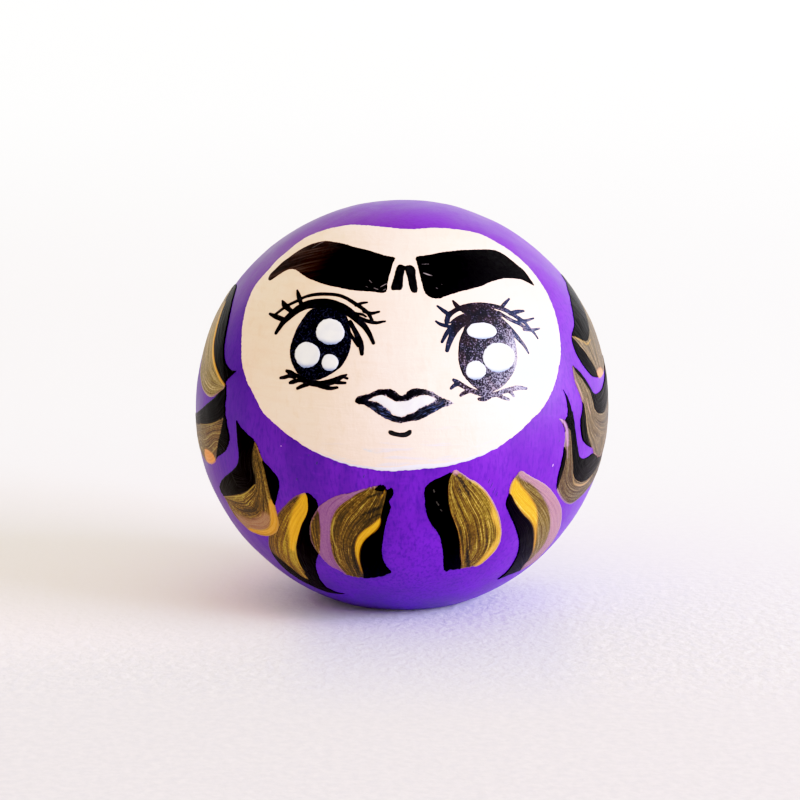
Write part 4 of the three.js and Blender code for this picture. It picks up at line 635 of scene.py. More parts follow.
face = film("face_panel_painted", face_chart, lambda Q: poly_dist(Q, face_P) + 0.09 * (vnoise(Q[:, 0] * 1.1, Q[:, 1] * 1.1, 3) - 0.5) + 0.12 * (vnoise(Q[:, 0] * 3.1, Q[:, 1] * 3.1, 4) - 0.5),
            extent(face_P, pad=0.4), 0.22, -0.05, 0.11, 0.3, 0.3,
            relief=lambda P, s: 0.02 * (vnoise(P[:, 0] * 0.5, P[:, 1] * 2.4, 11) - 0.5), attrs={"_": face_attrs})


def face_material():
    m = Mat("cream_acrylic")
    broad = m.noise(m.coords((90, 90, 90)), 1.0, 2.0, 0.5)
    streak = m.noise(m.coords((160, 160, 1300)), 1.0, 3.0, 0.55, 0.3)   # side-to-side brushing
    slant = m.noise(m.coords((1100, 400, 420), (0.01, 0, 0)), 1.0, 3.0, 0.6, 0.5)   # short slanting dabs
    grain = m.noise(m.coords((2600, 2600, 2600)), 1.0, 2.0, 0.5)
    col = m.mix(m.step(broad, 0.3, 0.7), (249, 213, 196), (251, 220, 205))
    col = m.mix(m.step(streak, 0.45, 0.75, 0, 0.4), col, (244, 204, 184))
    col = m.mix(m.step(slant, 0.50, 0.74, 0, 0.35), col, (238, 196, 172))
    col = m.mix(m.step(grain, 0.55, 0.8, 0, 0.25), col, (236, 200, 184))
    s, low = m.attr("s"), m.attr("low")
    col = m.mix(m.mul(m.step(streak, 0.56, 0.66, 0, 0.6), m.step(low, 0.05, 0.5)), col, (224, 212, 234))   # underpaint showing between strokes
    wob = m.mul(m.math("SUBTRACT", broad, 0.5), 0.5)
    width = m.add(m.mul(low, 0.95), wob)
    rim = m.step(m.math("SUBTRACT", width, s), -0.04, 0.06)
    col = m.mix(m.mul(rim, m.step(low, 0.02, 0.3)), col, (228, 222, 244))
    col = m.mix(m.mul(m.step(m.attr("f"), -0.06, 0.14), m.step(m.noise(m.coords((900, 900, 4200)), 1.0, 2.0, 0.5), 0.40, 0.60, 0.15, 0.75)), col, (206, 206, 222))
    m.set(Base_Color=col, Roughness=m.step(streak, 0.3, 0.7, 0.42, 0.52))
    m.bump(m.add(m.add(m.mul(streak, 1.0), m.mul(slant, 0.8)), m.mul(grain, 0.45)), 0.00009, 0.6)
    return m


paint(face, face_material())
hand_in(face, "cream_paint", "face_panel")


# ---------------------------------------------------------------- black lines and shapes on the face


def ink_material(name, base=(6, 5, 9), dry=(40, 36, 58), amount=0.25, rough=0.42, scale=2300, brown=None, spec=0.25, tooth=0.00005):
    """Thin black paint: nearly solid, with small dry specks; brown fades in where attribute thin is high."""
    m = Mat(name)
    speck = m.noise(m.coords((scale, scale, scale)), 1.0, 3.0, 0.65)
    drag = m.noise(m.coords((500, 500, 2600)), 1.0, 2.0, 0.5, 0.4)
    col = m.mix(m.step(speck, 0.52, 0.74, 0, amount), base, dry)
    if brown is not None:
        thin = m.attr("thin")
        k = m.mul(thin, m.step(m.attr("v"), 0.30, 0.62, 0.55, 1.0))
        col = m.mix(k, col, m.mix(m.step(m.attr("v"), 0.35, 0.65), brown, (46, 15, 9)))
        col = m.mix(m.step(m.attr("nick"), -0.05, 0.07, 0, 0.7), col, (170, 156, 162))
        col = m.mix(m.mul(m.math("POWER", thin, 3.0), m.step(m.attr("v"), 0.55, 0.75, 0, 0.8)), col, (74, 56, 50))
    m.set(Base_Color=col, Roughness=m.step(speck, 0.35, 0.7, rough - 0.08, rough + 0.12))
    m.set(Specular_IOR_Level=spec)
    m.bump(m.add(speck, m.mul(drag, 0.6)), tooth, 0.7)
    return m


def glint_speckled_material(name, low=0.0):
    """Black ink broken by pale specks that are a painted glint (the window's reflection), denser toward the lower
    right; the per-point attribute says how much of it is painted glint.
    """
    m = Mat(name)
    glint_amount = m.attr("glint_amount")
    a = m.noise(m.coords((5400, 5400, 5400)), 1.0, 1.0, 0.5)
    b = m.noise(m.coords((1500, 1500, 1500), (0.003, 0, 0.001)), 1.0, 2.0, 0.5)
    c = m.noise(m.coords((800, 800, 800), (0, 0.002, 0)), 1.0, 1.0, 0.5)
    x = m.add(m.add(m.mul(a, 0.74), m.mul(b, 0.26)), m.mul(m.math("SUBTRACT", glint_amount, 0.5), 0.30))
    t = m.step(x, 0.42, 0.66)
    dark = m.mix(m.step(c, 0.40, 0.62), (8, 6, 16), (26, 12, 20))
    # painted sheen: the dark ink lifts toward grey-lilac where the painted glint is strong
    dark = m.mix(m.step(glint_amount, 0.35, 0.8, 0, 0.5), dark, (74, 58, 84))
    dark = m.mix(m.attr("out"), dark, (18, 25, 48))
    pale = m.mix(glint_amount, (88, 74, 108), (194, 186, 218))
    pale = m.mix(m.mul(m.attr("out"), 0.85), pale, (56, 64, 104))
    pale = m.mix(m.step(c, 0.45, 0.65, 0, 0.35), pale, (158, 126, 134))
    m.set(Base_Color=m.mix(t, dark, pale), Roughness=0.46)
    m.set(Specular_IOR_Level=0.10)
    m.bump(m.add(a, b), 0.00004, 0.6)
    return m


# Painted glint: how much of the ink shows pale specks of painted reflection, growing toward the right and bottom of the
# eye.
def glint_speck_attrs(ch, P, top=0.92):
    d = ch.up(P)
    lon, lat = np.degrees(np.arctan2(d[:, 0], -d[:, 1])), np.degrees(np.arcsin(np.clip(d[:, 2] / np.linalg.norm(d, axis=1), -1, 1)))
    x, y = (lon - SPX[0]) / (SPX[1] - SPX[0]), (lat - SPY[0]) / (SPY[1] - SPY[0])
    glint_amount = 0.04 + 0.34 * x + 0.27 * y - 0.18 * np.exp(-((y - 0.05) / 0.14) ** 2) + 0.34 * np.clip((x - 0.84) / 0.12, 0, 1) * np.clip((1.05 - x) / 0.05, 0, 1) * np.clip((y - 0.25) / 0.2, 0, 1)
    return {"glint_amount": np.clip(glint_amount, 0.0, top), "out": np.clip((x - 0.95) / 0.15, 0, 1) + np.clip(-x / 0.1, 0, 1)}


def union(*parts):
    def f(Q):
        out = parts[0](Q)
        for p in parts[1:]:
            out = np.maximum(out, p(Q))
        return out
    return f


def shape_film(name, keys, cell, bottom, top, slot, nodes, mat, edge=0.16, grow=0.0, chart=None, rough_edge=0.0, minus=(), attrs=None, relief=None, rim=0.35):
    ch = chart or Chart(*centre_of(*[OUT[k] for k in keys]))
    polys = [flat_poly(ch, k) for k in keys]
    holes = [flat_poly(ch, k) for k in minus]

    def f(Q):
        s = np.max([poly_dist(Q, p) for p in polys], 0) + grow
        for h in holes:
            s = np.minimum(s, -poly_dist(Q, h))
        if rough_edge:
            s = s + rough_edge * (vnoise(Q[:, 0] * 6, Q[:, 1] * 6, 5) - 0.5) + rough_edge * 0.6 * (vnoise(Q[:, 0] * 14, Q[:, 1] * 14, 6) - 0.5)
        return s

    ob = film(name, ch, f, extent(*polys), cell, bottom, top, edge, rim, relief, {"_": (lambda P: attrs(ch, P))} if attrs else None)
    paint(ob, mat)
    hand_in(ob, slot, *nodes)
    return ob


def pen_film(name, groups, cell, bottom, top, slot, nodes, mat, polys=(), grow=0.045, relief=None, attrs=None, rough=0.035):
    strokes = [st for g in groups for st in PEN[g]]
    ch = Chart(*centre_of(*strokes, *[OUT[k] for k in polys]))
    lines = []
    for st in strokes:
        a = np.asarray(st, float)
        p = np.concatenate([ch.flat(a[:, :2]), a[:, 2:3]], 1)
        lines.append(spline(p, False, 5))
    fills = [flat_poly(ch, k) for k in polys]

    def f(Q):
        s = np.max([pen_dist(Q, p) for p in lines] + [poly_dist(Q, p) for p in fills], 0)
        return s + grow + rough * (vnoise(Q[:, 0] * 7, Q[:, 1] * 7, 9) - 0.5)

    ob = film(name, ch, f, extent(*lines, *fills, pad=0.5), cell, bottom, top, 0.12, 0.4, relief, {"_": (lambda P: attrs(ch, P))} if attrs else None)
    paint(ob, mat)
    hand_in(ob, slot, *nodes)
    return ob


FACE_IN, FACE_TOP = 0.07, 0.165
SPX, SPY = (16.35, 34.84), (35.65, 11.41)


NICKS = {-1: [[(-12.35, 45.69, 0.11), (-11.22, 44.90, 0.08)], [(-10.17, 43.31, 0.11), (-8.63, 42.87, 0.09)], [(-7.84, 43.68, 0.09), (-6.63, 44.34, 0.12), (-5.57, 44.84, 0.07)], [(-6.79, 42.61, 0.08), (-5.76, 43.07, 0.09)], [(-13.22, 43.74, 0.07), (-12.41, 43.44, 0.07)], [(-44.22, 58.38, 0.09), (-45.76, 57.10, 0.07), (-47.47, 55.08, 0.04)], [(-52.97, 55.57, 0.05), (-54.89, 53.69, 0.04)]],
         1: [[(8.50, 51.37, 0.07), (11.31, 51.42, 0.09)], [(8.56, 48.31, 0.12), (10.24, 47.72, 0.20), (11.74, 47.28, 0.09)], [(12.37, 43.25, 0.08), (12.83, 42.98, 0.08)], [(14.51, 44.34, 0.05), (14.85, 44.20, 0.05)]]}


def brow_attrs(side):
    a, b = ((-27, -47) if side < 0 else (45, 56))

    def f(ch, P):
        d = ch.up(P)
        lon = np.degrees(np.arctan2(d[:, 0], -d[:, 1]))
        thin = np.clip((lon - a) / (b - a), 0, 1) * (1.0 if side < 0 else 0.12)
        v = vnoise(P[:, 0] * 0.35 + P[:, 1] * 0.15, P[:, 1] * 5 - P[:, 0] * 1.4, 21)
        v = 0.6 * v + 0.4 * vnoise(P[:, 0] * 0.5, P[:, 1] * 11 - P[:, 0] * 3.0, 22)
        nick = np.full(len(P), -1.0)
        for st in NICKS[side]:
            a_ = np.asarray(st, float)
            nick = np.maximum(nick, pen_dist(P, spline(np.concatenate([ch.flat(a_[:, :2]), a_[:, 2:3]], 1), False, 5)))
        return {"thin": thin * thin * (3 - 2 * thin), "v": v, "nick": nick}
    return f


brow_ink = ink_material("brow_black", (4, 3, 4), (16, 10, 12), 0.2, 0.55, 1500, brown=(34, 8, 5), spec=0.04)
shape_film("brow_left_painted", ["brow_l"], 0.11, FACE_IN, FACE_TOP, "black_paint", ["brow_left"], brow_ink, rough_edge=0.10, attrs=brow_attrs(-1))
shape_film("brow_right_painted", ["brow_r"], 0.11, FACE_IN, FACE_TOP, "black_paint", ["brow_right"], brow_ink, rough_edge=0.10, attrs=brow_attrs(1))
mark_ink = ink_material("mark_black", (5, 4, 6), (26, 22, 30), 0.2)
shape_film("brow_marks_painted", ["mark_l", "mark_r"], 0.06, FACE_IN, FACE_TOP, "black_paint", ["brow_marks"], mark_ink, rough_edge=0.06)

iris_ink_l = ink_material("iris_black_left", (7, 8, 20), (50, 58, 104), 0.55, 0.24, 3000, spec=0.45, tooth=0.00008)
# The right eye's ink carries the painted glint of the window.
iris_ink_r = glint_speckled_material("iris_black_right")
line_ink_r = glint_speckled_material("line_black_right")
shape_film("iris_left_painted", ["iris_l"], 0.08, FACE_IN, FACE_TOP - 0.005, "black_paint", ["iris_left"], iris_ink_l, rough_edge=0.05)
shape_film("iris_right_painted", ["iris_r"], 0.08, FACE_IN, FACE_TOP - 0.005, "black_paint", ["iris_right"], iris_ink_r, rough_edge=0.05, attrs=glint_speck_attrs)

line_ink = ink_material("line_black", (6, 6, 10), (44, 44, 66), 0.35, 0.42, 1900)
pen_film("lash_lines_left_painted", ["lid_l", "crease_l", "lash_l"], 0.05, FACE_IN + 0.005, FACE_TOP + 0.02, "black_paint", ["lash_lines_left"], line_ink)
pen_film("lower_lashes_left_painted", ["low_l"], 0.05, FACE_IN + 0.005, FACE_TOP + 0.02, "black_paint", ["lower_lashes_left"], line_ink)
PEN["fill_r"] = [[(15.08, 32.64, 0.11), (17.11, 33.82, 0.17), (19.14, 34.59, 0.19), (21.34, 35.13, 0.16)], [(20.12, 35.72, 0.33), (22.66, 36.00, 0.60), (25.56, 36.06, 0.69), (28.39, 35.75, 0.69), (31.08, 34.96, 0.64), (33.27, 33.84, 0.43)]]
# The right eye's lines share the painted glint, capped lower.
pen_film("lash_lines_right_painted", ["lid_r", "lid2_r", "crease_r", "lash_r", "fill_r"], 0.05, FACE_IN + 0.005, FACE_TOP + 0.02, "black_paint", ["lash_lines_right"], line_ink_r, attrs=lambda ch, P: glint_speck_attrs(ch, P, 0.60), grow=0.058)
pen_film("lower_lashes_right_painted", ["low_r"], 0.05, FACE_IN + 0.005, FACE_TOP + 0.02, "black_paint", ["lower_lashes_right"], line_ink_r, attrs=lambda ch, P: glint_speck_attrs(ch, P, 0.66), grow=0.065)


def white_material(name, a=(246, 243, 248), b=(226, 224, 238)):
    m = Mat(name)
    n = m.noise(m.coords((700, 700, 700)), 1.0, 2.0, 0.5)
    g = m.noise(m.coords((2600, 2600, 2600)), 1.0, 2.0, 0.5)
    s = m.attr("s")
    col = m.mix(m.step(n, 0.35, 0.7, 0, 0.6), a, b)
    col = m.mix(m.step(s, 0.16, 0.0, 0, 0.5), col, (150, 158, 196))
    col = m.mix(m.mul(m.step(m.attr("dy"), 0.35, 1.0), m.step(s, 0.75, 0.1)), col, (138, 156, 204))
    m.set(Base_Color=col, Roughness=0.45)
    m.bump(m.add(n, m.mul(g, 0.4)), 0.00006, 0.5)
    return m


light_mat = white_material("eye_white")


def light_attrs(ch, P):
    y0, y1 = P[:, 1].min(), P[:, 1].max()
    return {"dy": (0.5 * (y0 + y1) - P[:, 1]) / (0.5 * (y1 - y0))}


for key, node in (("cl_l1", "eye_light_left_upper"), ("cl_l2", "eye_light_left_outer"), ("cl_l3", "eye_light_left_lower"),
                  ("cl_r1", "eye_light_right_upper"), ("cl_r2", "eye_light_right_large"), ("cl_r3", "eye_light_right_lower")):
    shape_film(node + "_painted", [key], 0.07, FACE_IN + 0.05, FACE_TOP + 0.07, "white_paint", [node], light_mat, edge=0.25, rim=0.5, rough_edge=0.09, attrs=light_attrs)


def mouth_material():
    m = Mat("mouth_black")
    speck = m.noise(m.coords((1900, 1900, 1900)), 1.0, 3.0, 0.65)
    drag = m.noise(m.vec(m.attr("mu"), m.attr("mv")), 1.0, 3.0, 0.6)
    dry = m.attr("dry")
    col = m.mix(m.step(speck, 0.5, 0.74, 0, 0.3), (6, 6, 10), (40, 42, 62))
    k = m.mul(dry, m.step(drag, 0.48, 0.66, 0, 0.8))
    col = m.mix(k, col, (92, 108, 162))
    grit = m.noise(m.coords((5200, 5200, 5200)), 1.0, 1.0, 0.5)
    edge = m.mul(m.step(m.attr("s"), 0.26, 0.02), m.step(m.add(grit, m.mul(m.attr("fade"), 0.16)), 0.56, 0.70))
    col = m.mix(m.mul(edge, 0.75), col, (186, 168, 196))
    col = m.mix(m.mul(m.attr("fade"), m.step(grit, 0.40, 0.58, 0, 0.8)), col, (196, 180, 204))
    m.set(Base_Color=col, Roughness=0.48)
    m.set(Specular_IOR_Level=0.10)
    m.bump(m.add(speck, drag), 0.00005, 0.6)
    return m


def mouth_attrs(ch, P):
    c = OUT["mouth_o"]
    lo = ch.flat([[min(p[0] for p in c), 10], [max(p[0] for p in c), 10]])
    x = (P[:, 0] - lo[0, 0]) / (lo[1, 0] - lo[0, 0])
    y = P[:, 1]
    dry = np.maximum(np.exp(-((x - 0.27) / 0.10) ** 2) * np.clip(-y / 0.8 + 0.2, 0, 1), np.exp(-((x - 0.80) / 0.13) ** 2) * np.clip(-y / 0.8 + 0.7, 0, 1))
    a = np.where(x < 0.5, -0.45, 0.5)
    fade = np.clip((x - 0.90) / 0.07, 0, 1) + 0.45 * np.exp(-((x - 0.80) / 0.06) ** 2) * np.clip(y / 0.6 + 0.5, 0, 1)
    return {"dry": dry, "fade": np.clip(fade, 0, 1), "mu": (P[:, 0] * np.cos(a) + P[:, 1] * np.sin(a)) * 0.9, "mv": (-P[:, 0] * np.sin(a) + P[:, 1] * np.cos(a)) * 7.0}


shape_film("mouth_outline_painted", ["mouth_o"], 0.06, FACE_IN, FACE_TOP, "black_paint", ["mouth_outline"], mouth_material(), rough_edge=0.11, grow=0.02, attrs=mouth_attrs, minus=["mouth_i"])
shape_film("mouth_white_painted", ["mouth_i"], 0.07, FACE_IN - 0.01, FACE_TOP - 0.03, "white_paint", ["mouth_white"], white_material("mouth_white_paint", (240, 233, 240), (222, 213, 230)), edge=0.25, rough_edge=0.10)
shape_film("chin_mark_painted", ["chin"], 0.05, FACE_IN, FACE_TOP, "black_paint", ["chin_mark"], line_ink, rough_edge=0.04, grow=0.07)


# ---------------------------------------------------------------- the ten brushed strokes

OUT["H_tick"] = [(61.7, 24.2), (64.4, 22.8), (67.4, 21.4), (70.5, 20.2), (72.5, 21), (72, 22.2), (70.7, 21.9), (67.4, 22.6), (64.4, 23.6)]
OUT["H_tip"] = [(71.5, 12.8), (74, 13.2), (77.5, 12.6), (78.5, 10.8), (75.5, 9.8), (72.5, 10.6)]
OUT["F_tip"] = [(-71.5, -8.6), (-67.5, -8.0), (-63.6, -8.8), (-63, -11), (-65.5, -13), (-70, -13.4), (-72.5, -11.5)]
OUT["J_tip"] = [(46.08, 4.33), (47.50, 4.04), (48.93, 3.10), (50.02, 1.78), (50.59, 0.27), (50.84, -1.67), (50.87, -4.16), (50.41, -4.08), (50.25, -1.58), (49.83, 0.12), (49.14, 1.53), (48.06, 2.88), (46.86, 3.73)]
OUT["J_gold"] = [(48.70, -3.26), (49.08, -1.12), (49.74, 0.27), (50.81, 0.73), (51.69, 0.10), (52.11, -1.30), (52.79, -4.20), (53.48, -7.10), (54.49, -10.11), (55.90, -13.31), (59.77, -15.79), (63.72, -16.70), (68.62, -16.70), (72.94, -15.82), (76.09, -14.56), (81.87, -12.76), *OUT["J_gold"][15:]]


def stroke_material(name, body, bright, mauve, black=(3, 2, 4), contrast=1.0, freq=15.0, gain=None, seed=0.0, wash=0.5,
                    soft_b=0.1, grow_b=0.0, clip_b=False, soft_q=0.1, light=None, hair=0.22):
    """One loaded-brush stroke. Attributes: u, v along and across the bristles; g, b, q, d, l, k distances into the gold,
    bright, mauve, dark, light-line and dry dark passages."""
    m = Mat(name)
    u, v = m.attr("u"), m.attr("v")
    g, b, q, d = m.attr("g"), m.attr("b"), m.attr("q"), m.attr("d")
    warp = m.noise(m.vec(m.mul(u, 0.22), m.mul(v, 2.0), seed), 1.0, 1.0)
    vv = m.add(v, m.mul(m.math("SUBTRACT", warp, 0.5), 0.05))
    coarse = m.noise(m.vec(m.mul(u, 0.10), m.mul(vv, freq), seed + 1.3), 1.0, 1.0, 0.5)
    fine = m.noise(m.vec(m.mul(u, 0.12), m.mul(vv, freq * 3.0), seed + 7.1), 1.0, 1.0, 0.5)
    line = m.noise(m.vec(m.mul(u, 0.12), m.mul(vv, freq * 1.5), seed + 3.7), 1.0, 1.0, 0.5)
    line = m.math("SUBTRACT", 1.0, m.math("ABSOLUTE", m.math("MULTIPLY_ADD", line, 2.0, -1.0)))
    line = m.step(line, 0.86, 0.985)                                   # thin bristle lines
    grain = m.noise(m.coords((2400, 2400, 2400)), 1.0, 2.0, 0.6)
    weave = m.noise(m.coords((4200, 4200, 2900), (0, 0, 0.5)), 1.0, 2.0, 0.6)
    streak = m.add(m.add(m.mul(coarse, 0.28), m.mul(fine, 0.44)), m.add(m.mul(grain, 0.10), m.mul(weave, 0.18)))
    tone = streak
    if gain is not None:
        tone = m.add(streak, m.mul(m.math("SUBTRACT", m.curve(v, gain), 0.5), 0.55))
    lo, hi = 0.5 - 0.15 / contrast, 0.5 + 0.15 / contrast
    t = m.add(m.step(tone, lo, hi, smooth=False), m.mul(m.mul(line, m.step(m.add(weave, grain), 0.7, 1.2, 0.3, 1.0)), hair))
    col_body = m.ramp(t, [(0.0, body[0]), (0.38, body[1]), (0.72, body[2]), (1.0, body[3])])
    col_bright = m.ramp(m.step(streak, 0.34, 0.66, smooth=False), [(0.0, bright[0]), (0.6, bright[1]), (1.0, bright[2])])
    col_mauve = m.ramp(m.step(m.add(m.mul(weave, 0.5), m.mul(fine, 0.5)), 0.3, 0.7, smooth=False), [(0.0, mauve[0]), (1.0, mauve[1])])
    wob = m.mul(m.math("SUBTRACT", fine, 0.5), 0.30)

    def mask(x, soft):
        return m.step(m.add(x, m.mul(wob, 0.7 + 2.2 * soft)), -0.05 - 0.55 * soft, 0.08 + 0.55 * soft)

    gm = m.mul(m.step(m.add(g, m.mul(wob, 0.7)), -0.04, 0.07), m.step(m.add(d, wob), 0.09, -0.05))
    col = m.mix(m.step(grain, 0.5, 0.8, 0, 0.12), black, (14, 11, 18))
    col = m.mix(m.step(m.add(g, m.mul(wob, 0.7)), -0.04, 0.07), col, col_body)
    col = m.mix(m.mul(mask(q, soft_q), m.step(fine, 0.25, 0.5, 0.85, 1.0)), col, col_mauve)
    col = m.mix(m.step(m.add(d, wob), -0.05, 0.09), col, m.mix(m.step(fine, 0.62, 0.8, 0, 0.10), black, body[1]))
    bm = mask(m.add(b, grow_b), soft_b)
    if clip_b:
        bm = m.mul(bm, gm)
    col = m.mix(bm, col, col_bright)
    col = m.mix(m.mul(m.step(m.add(m.attr("k"), m.mul(wob, 1.6)), -0.12, 0.16), m.step(weave, 0.64, 0.44, 0.6, 0.95)), col, black)
    col = m.mix(m.step(m.add(m.attr("l"), m.mul(wob, 0.5)), -0.08, 0.10, 0, 0.8), col, light or body[3])
    if wash:                                   # gold thins to a veil over the violet at its outer edge
        col = m.mix(m.mul(m.mul(m.step(m.add(m.attr("s"), wob), 0.32, 0.02), gm), wash), col, mauve[1])
    m.set(Base_Color=col, Roughness=m.mix_f(gm, 0.40, 0.46))
    m.set(Specular_IOR_Level=m.mix_f(gm, 0.03, 0.16))
    h = m.add(m.mul(coarse, 1.2), m.add(m.mul(fine, 0.9), m.add(m.mul(grain, 0.3), m.mul(line, 0.3))))
    m.bump(h, 0.00007, 0.6)
    return m


def mix_f(self, f, a, b):
    n = self.t.nodes.new("ShaderNodeMix")
    n.data_type = "FLOAT"
    self.put(n.inputs[0], f)
    self.put(n.inputs[2], a)
    self.put(n.inputs[3], b)
    return n.outputs[0]


Mat.mix_f = mix_f


def stroke(letter, node, mat, gold=(), bright=(), mauve=(), dark=(), not_mauve=(), bright_pens=(), light_pens=(), dark_pens=(), whole="", cell=0.1, top=0.07, cap=(), rough_edge=0.07):
    """The whole brush mark is one skin; gold, bright, mauve and dark name the passages inside it."""
    ch = Chart(*centre_of(OUT[letter]))
    P0 = flat_poly(ch, letter)
    left, right = (spline(ch.flat(c), False, 4) for c in FLOW[letter])

    def dist(keys, Q):
        if not keys:
            return np.full(len(Q), -1.0)
        return np.max([poly_dist(Q, flat_poly(ch, k)) for k in keys], 0)

    def uv(Q):
        dl, ul, ll_ = line_param(Q, left)
        dr, ur, lr = line_param(Q, right)
        v = dl / np.maximum(dl + dr, 1e-6)
        width = 0.5 * (ll_ + lr)
        return (ul * (1 - v) + ur * v) * width, v

    def f(Q):
        s = poly_dist(Q, P0)
        n = rough_edge * (vnoise(Q[:, 0] * 5, Q[:, 1] * 5, 15) - 0.5) + 0.6 * rough_edge * (vnoise(Q[:, 0] * 13, Q[:, 1] * 13, 16) - 0.5)
        u, v = uv(Q)
        span = 0.5 * (np.linalg.norm(left[1:] - left[:-1], axis=1).sum() + np.linalg.norm(right[1:] - right[:-1], axis=1).sum())
        end = np.clip((u / span - 0.90) / 0.08, 0, 1) + np.clip((0.08 - u / span) / 0.08, 0, 1) * 0.6
        return s + n + end * 0.34 * (vnoise(v * 34, u * 0.1, 17) - 0.55)      # bristle ends

    def at(P):
        u, v = uv(P)
        def along(sts):
            out = np.full(len(P), -1.0)
            for st in sts:
                a = np.asarray(st, float)
                out = np.maximum(out, pen_dist(P, spline(np.concatenate([ch.flat(a[:, :2]), a[:, 2:3]], 1), False, 5)))
            return out
        pens = along(bright_pens)
        q = dist(mauve, P)
        if not_mauve:
            q = np.minimum(q, -dist(not_mauve, P))
        return {"u": u, "v": v, "g": dist(gold, P), "b": np.maximum(dist(bright, P), pens), "q": q, "d": dist(dark, P), "l": along(light_pens), "k": along(dark_pens)}

    def relief(P, s):
        u, v = uv(P)
        return 0.030 * (vnoise(v * 16, u * 0.35, 31) - 0.5) + 0.012 * (vnoise(v * 40, u * 0.6, 32) - 0.5)

    ob = film(node + "_painted", ch, f, extent(P0), cell, -0.05, top, 0.2, 0.3, relief, {"_": at})
    paint(ob, mat)
    hand_in(ob, "gold_paint", node, node + "_gold")
    return ob


FLOW["F"] = ([(-55.06, 3.78), (-58.15, 1.90), (-63.75, 0.10), (-71.52, -1.76), (-83.18, -4.04)],
             [(-60.47, -7.51), (-63.23, -9.74), (-67.68, -11.62), (-72.29, -11.84), (-75.00, -10.66)])
OLIVE = ((20, 14, 1), (62, 46, 7), (108, 84, 20), (186, 156, 70))
YELLOW = ((200, 140, 20), (226, 164, 30), (240, 186, 60))
MAUVE_L = ((120, 76, 128), (150, 106, 138))
MAUVE_R = ((134, 87, 118), (164, 121, 122))

stroke("D", "stroke_left_4", stroke_material("stroke_left_4_paint", ((30, 22, 2), (84, 63, 9), (134, 104, 20), (184, 150, 50)), YELLOW, MAUVE_L,
                                             gain=[(0, 0.24), (0.12, 0.38), (0.3, 0.5), (0.8, 0.62), (1, 0.6)], seed=3, soft_b=0.55, grow_b=0.25, clip_b=True),
       gold=["D_gold", "D_edge"], bright=["D_yel"], dark=["D_dark"],
       light_pens=[[(-34.90, -30.62, 0.16), (-36.50, -33.47, 0.27), (-38.07, -36.88, 0.29), (-39.19, -40.46, 0.24), (-39.82, -44.24, 0.13)]])
stroke("A", "stroke_left_5", stroke_material("stroke_left_5_paint", OLIVE, YELLOW, MAUVE_L, gain=[(0, 0.60), (0.04, 0.54), (0.5, 0.52), (0.8, 0.38), (1, 0.5)],
                                             freq=17, seed=11, soft_q=0.12, contrast=0.85, soft_b=0.2, grow_b=-0.07),
       gold=["A"], bright=["A_gold"], bright_pens=[[(-4.54, -11.69, 0.12), (-5.05, -12.85, 0.17), (-5.56, -14.03, 0.09)]], mauve=["A_mauve"], not_mauve=["A_lens"], dark=["A_black", "A_tip"], top=0.13,
       dark_pens=[[(-5.09, -12.42, 0.33), (-7.27, -13.05, 0.29), (-9.48, -14.01, 0.21)], [(-5.46, -16.25, 0.40), (-7.72, -17.52, 0.48), (-10.01, -18.52, 0.35), (-11.81, -19.85, 0.16)], [(-6.10, -18.69, 0.32), (-8.70, -20.02, 0.27), (-10.82, -21.69, 0.13)]], light_pens=[[(-19.03, -20.33, 0.13), (-20.11, -22.98, 0.19), (-20.70, -25.69, 0.19), (-20.81, -28.46, 0.16), (-20.41, -31.69, 0.11)]])
stroke("E", "stroke_left_3", stroke_material("stroke_left_3_paint", OLIVE, ((178, 116, 24), (206, 144, 44), (222, 166, 76)), ((134, 92, 76), (166, 124, 92)),
                                             gain=[(0, 0.5), (0.5, 0.5), (1, 0.55)], seed=5, soft_b=0.3, grow_b=0.2, clip_b=True, soft_q=0.8),
       gold=["E"], bright=["E_orange"], mauve=["E_mauve"], dark=["E_black", "E_lobe"], top=0.13,
       light_pens=[[(-65, -21.4, .08), (-58.4, -20.0, .14), (-53.2, -18.8, .18), (-48.6, -16.8, .18), (-44.6, -14.0, .12)]])
stroke("B", "stroke_right_5", stroke_material("stroke_right_5_paint", ((14, 9, 0), (66, 48, 6), (122, 94, 24), (200, 162, 78)), ((200, 140, 44), (222, 160, 58), (236, 180, 96)),
                                              ((178, 120, 140), (190, 132, 140)), gain=[(0, 0.44), (0.12, 0.5), (0.3, 0.5), (0.6, 0.52), (1, 0.62)], freq=18, contrast=0.88, seed=8,
                                              soft_b=0.55, grow_b=-0.22, clip_b=True, soft_q=0.3, light=(92, 88, 80)),
       gold=["B_gold"], bright=["B_right"], bright_pens=[[(12.78, -15.93, 0.07), (13.92, -19.34, 0.16), (15.69, -23.28, 0.24), (17.09, -27.43, 0.35), (18.56, -31.89, 0.40), (19.80, -35.11, 0.32), (20.88, -37.69, 0.13)]], mauve=["B_mauve"], dark_pens=[[(20.23, -30.93, 0.16), (21.28, -33.68, 0.43), (22.21, -36.18, 0.56), (23.31, -38.83, 0.48)], [(14.11, -7.68, 0.20), (15.55, -9.16, 0.43), (16.93, -11.23, 0.48), (18.09, -13.33, 0.35), (18.83, -15.14, 0.16)], [(13.88, -8.78, 0.13), (14.81, -10.81, 0.27), (15.78, -12.88, 0.29), (16.83, -15.29, 0.16)], [(15.76, -7.77, 0.13), (17.51, -9.28, 0.21), (19.06, -11.38, 0.21), (20.08, -13.19, 0.13)]], light_pens=[[(8.38, -11.74, 0.11), (8.71, -12.41, 0.13)], [(9.35, -15.24, 0.11), (9.99, -16.28, 0.16)], [(10.57, -17.57, 0.09), (10.94, -18.01, 0.11)]])
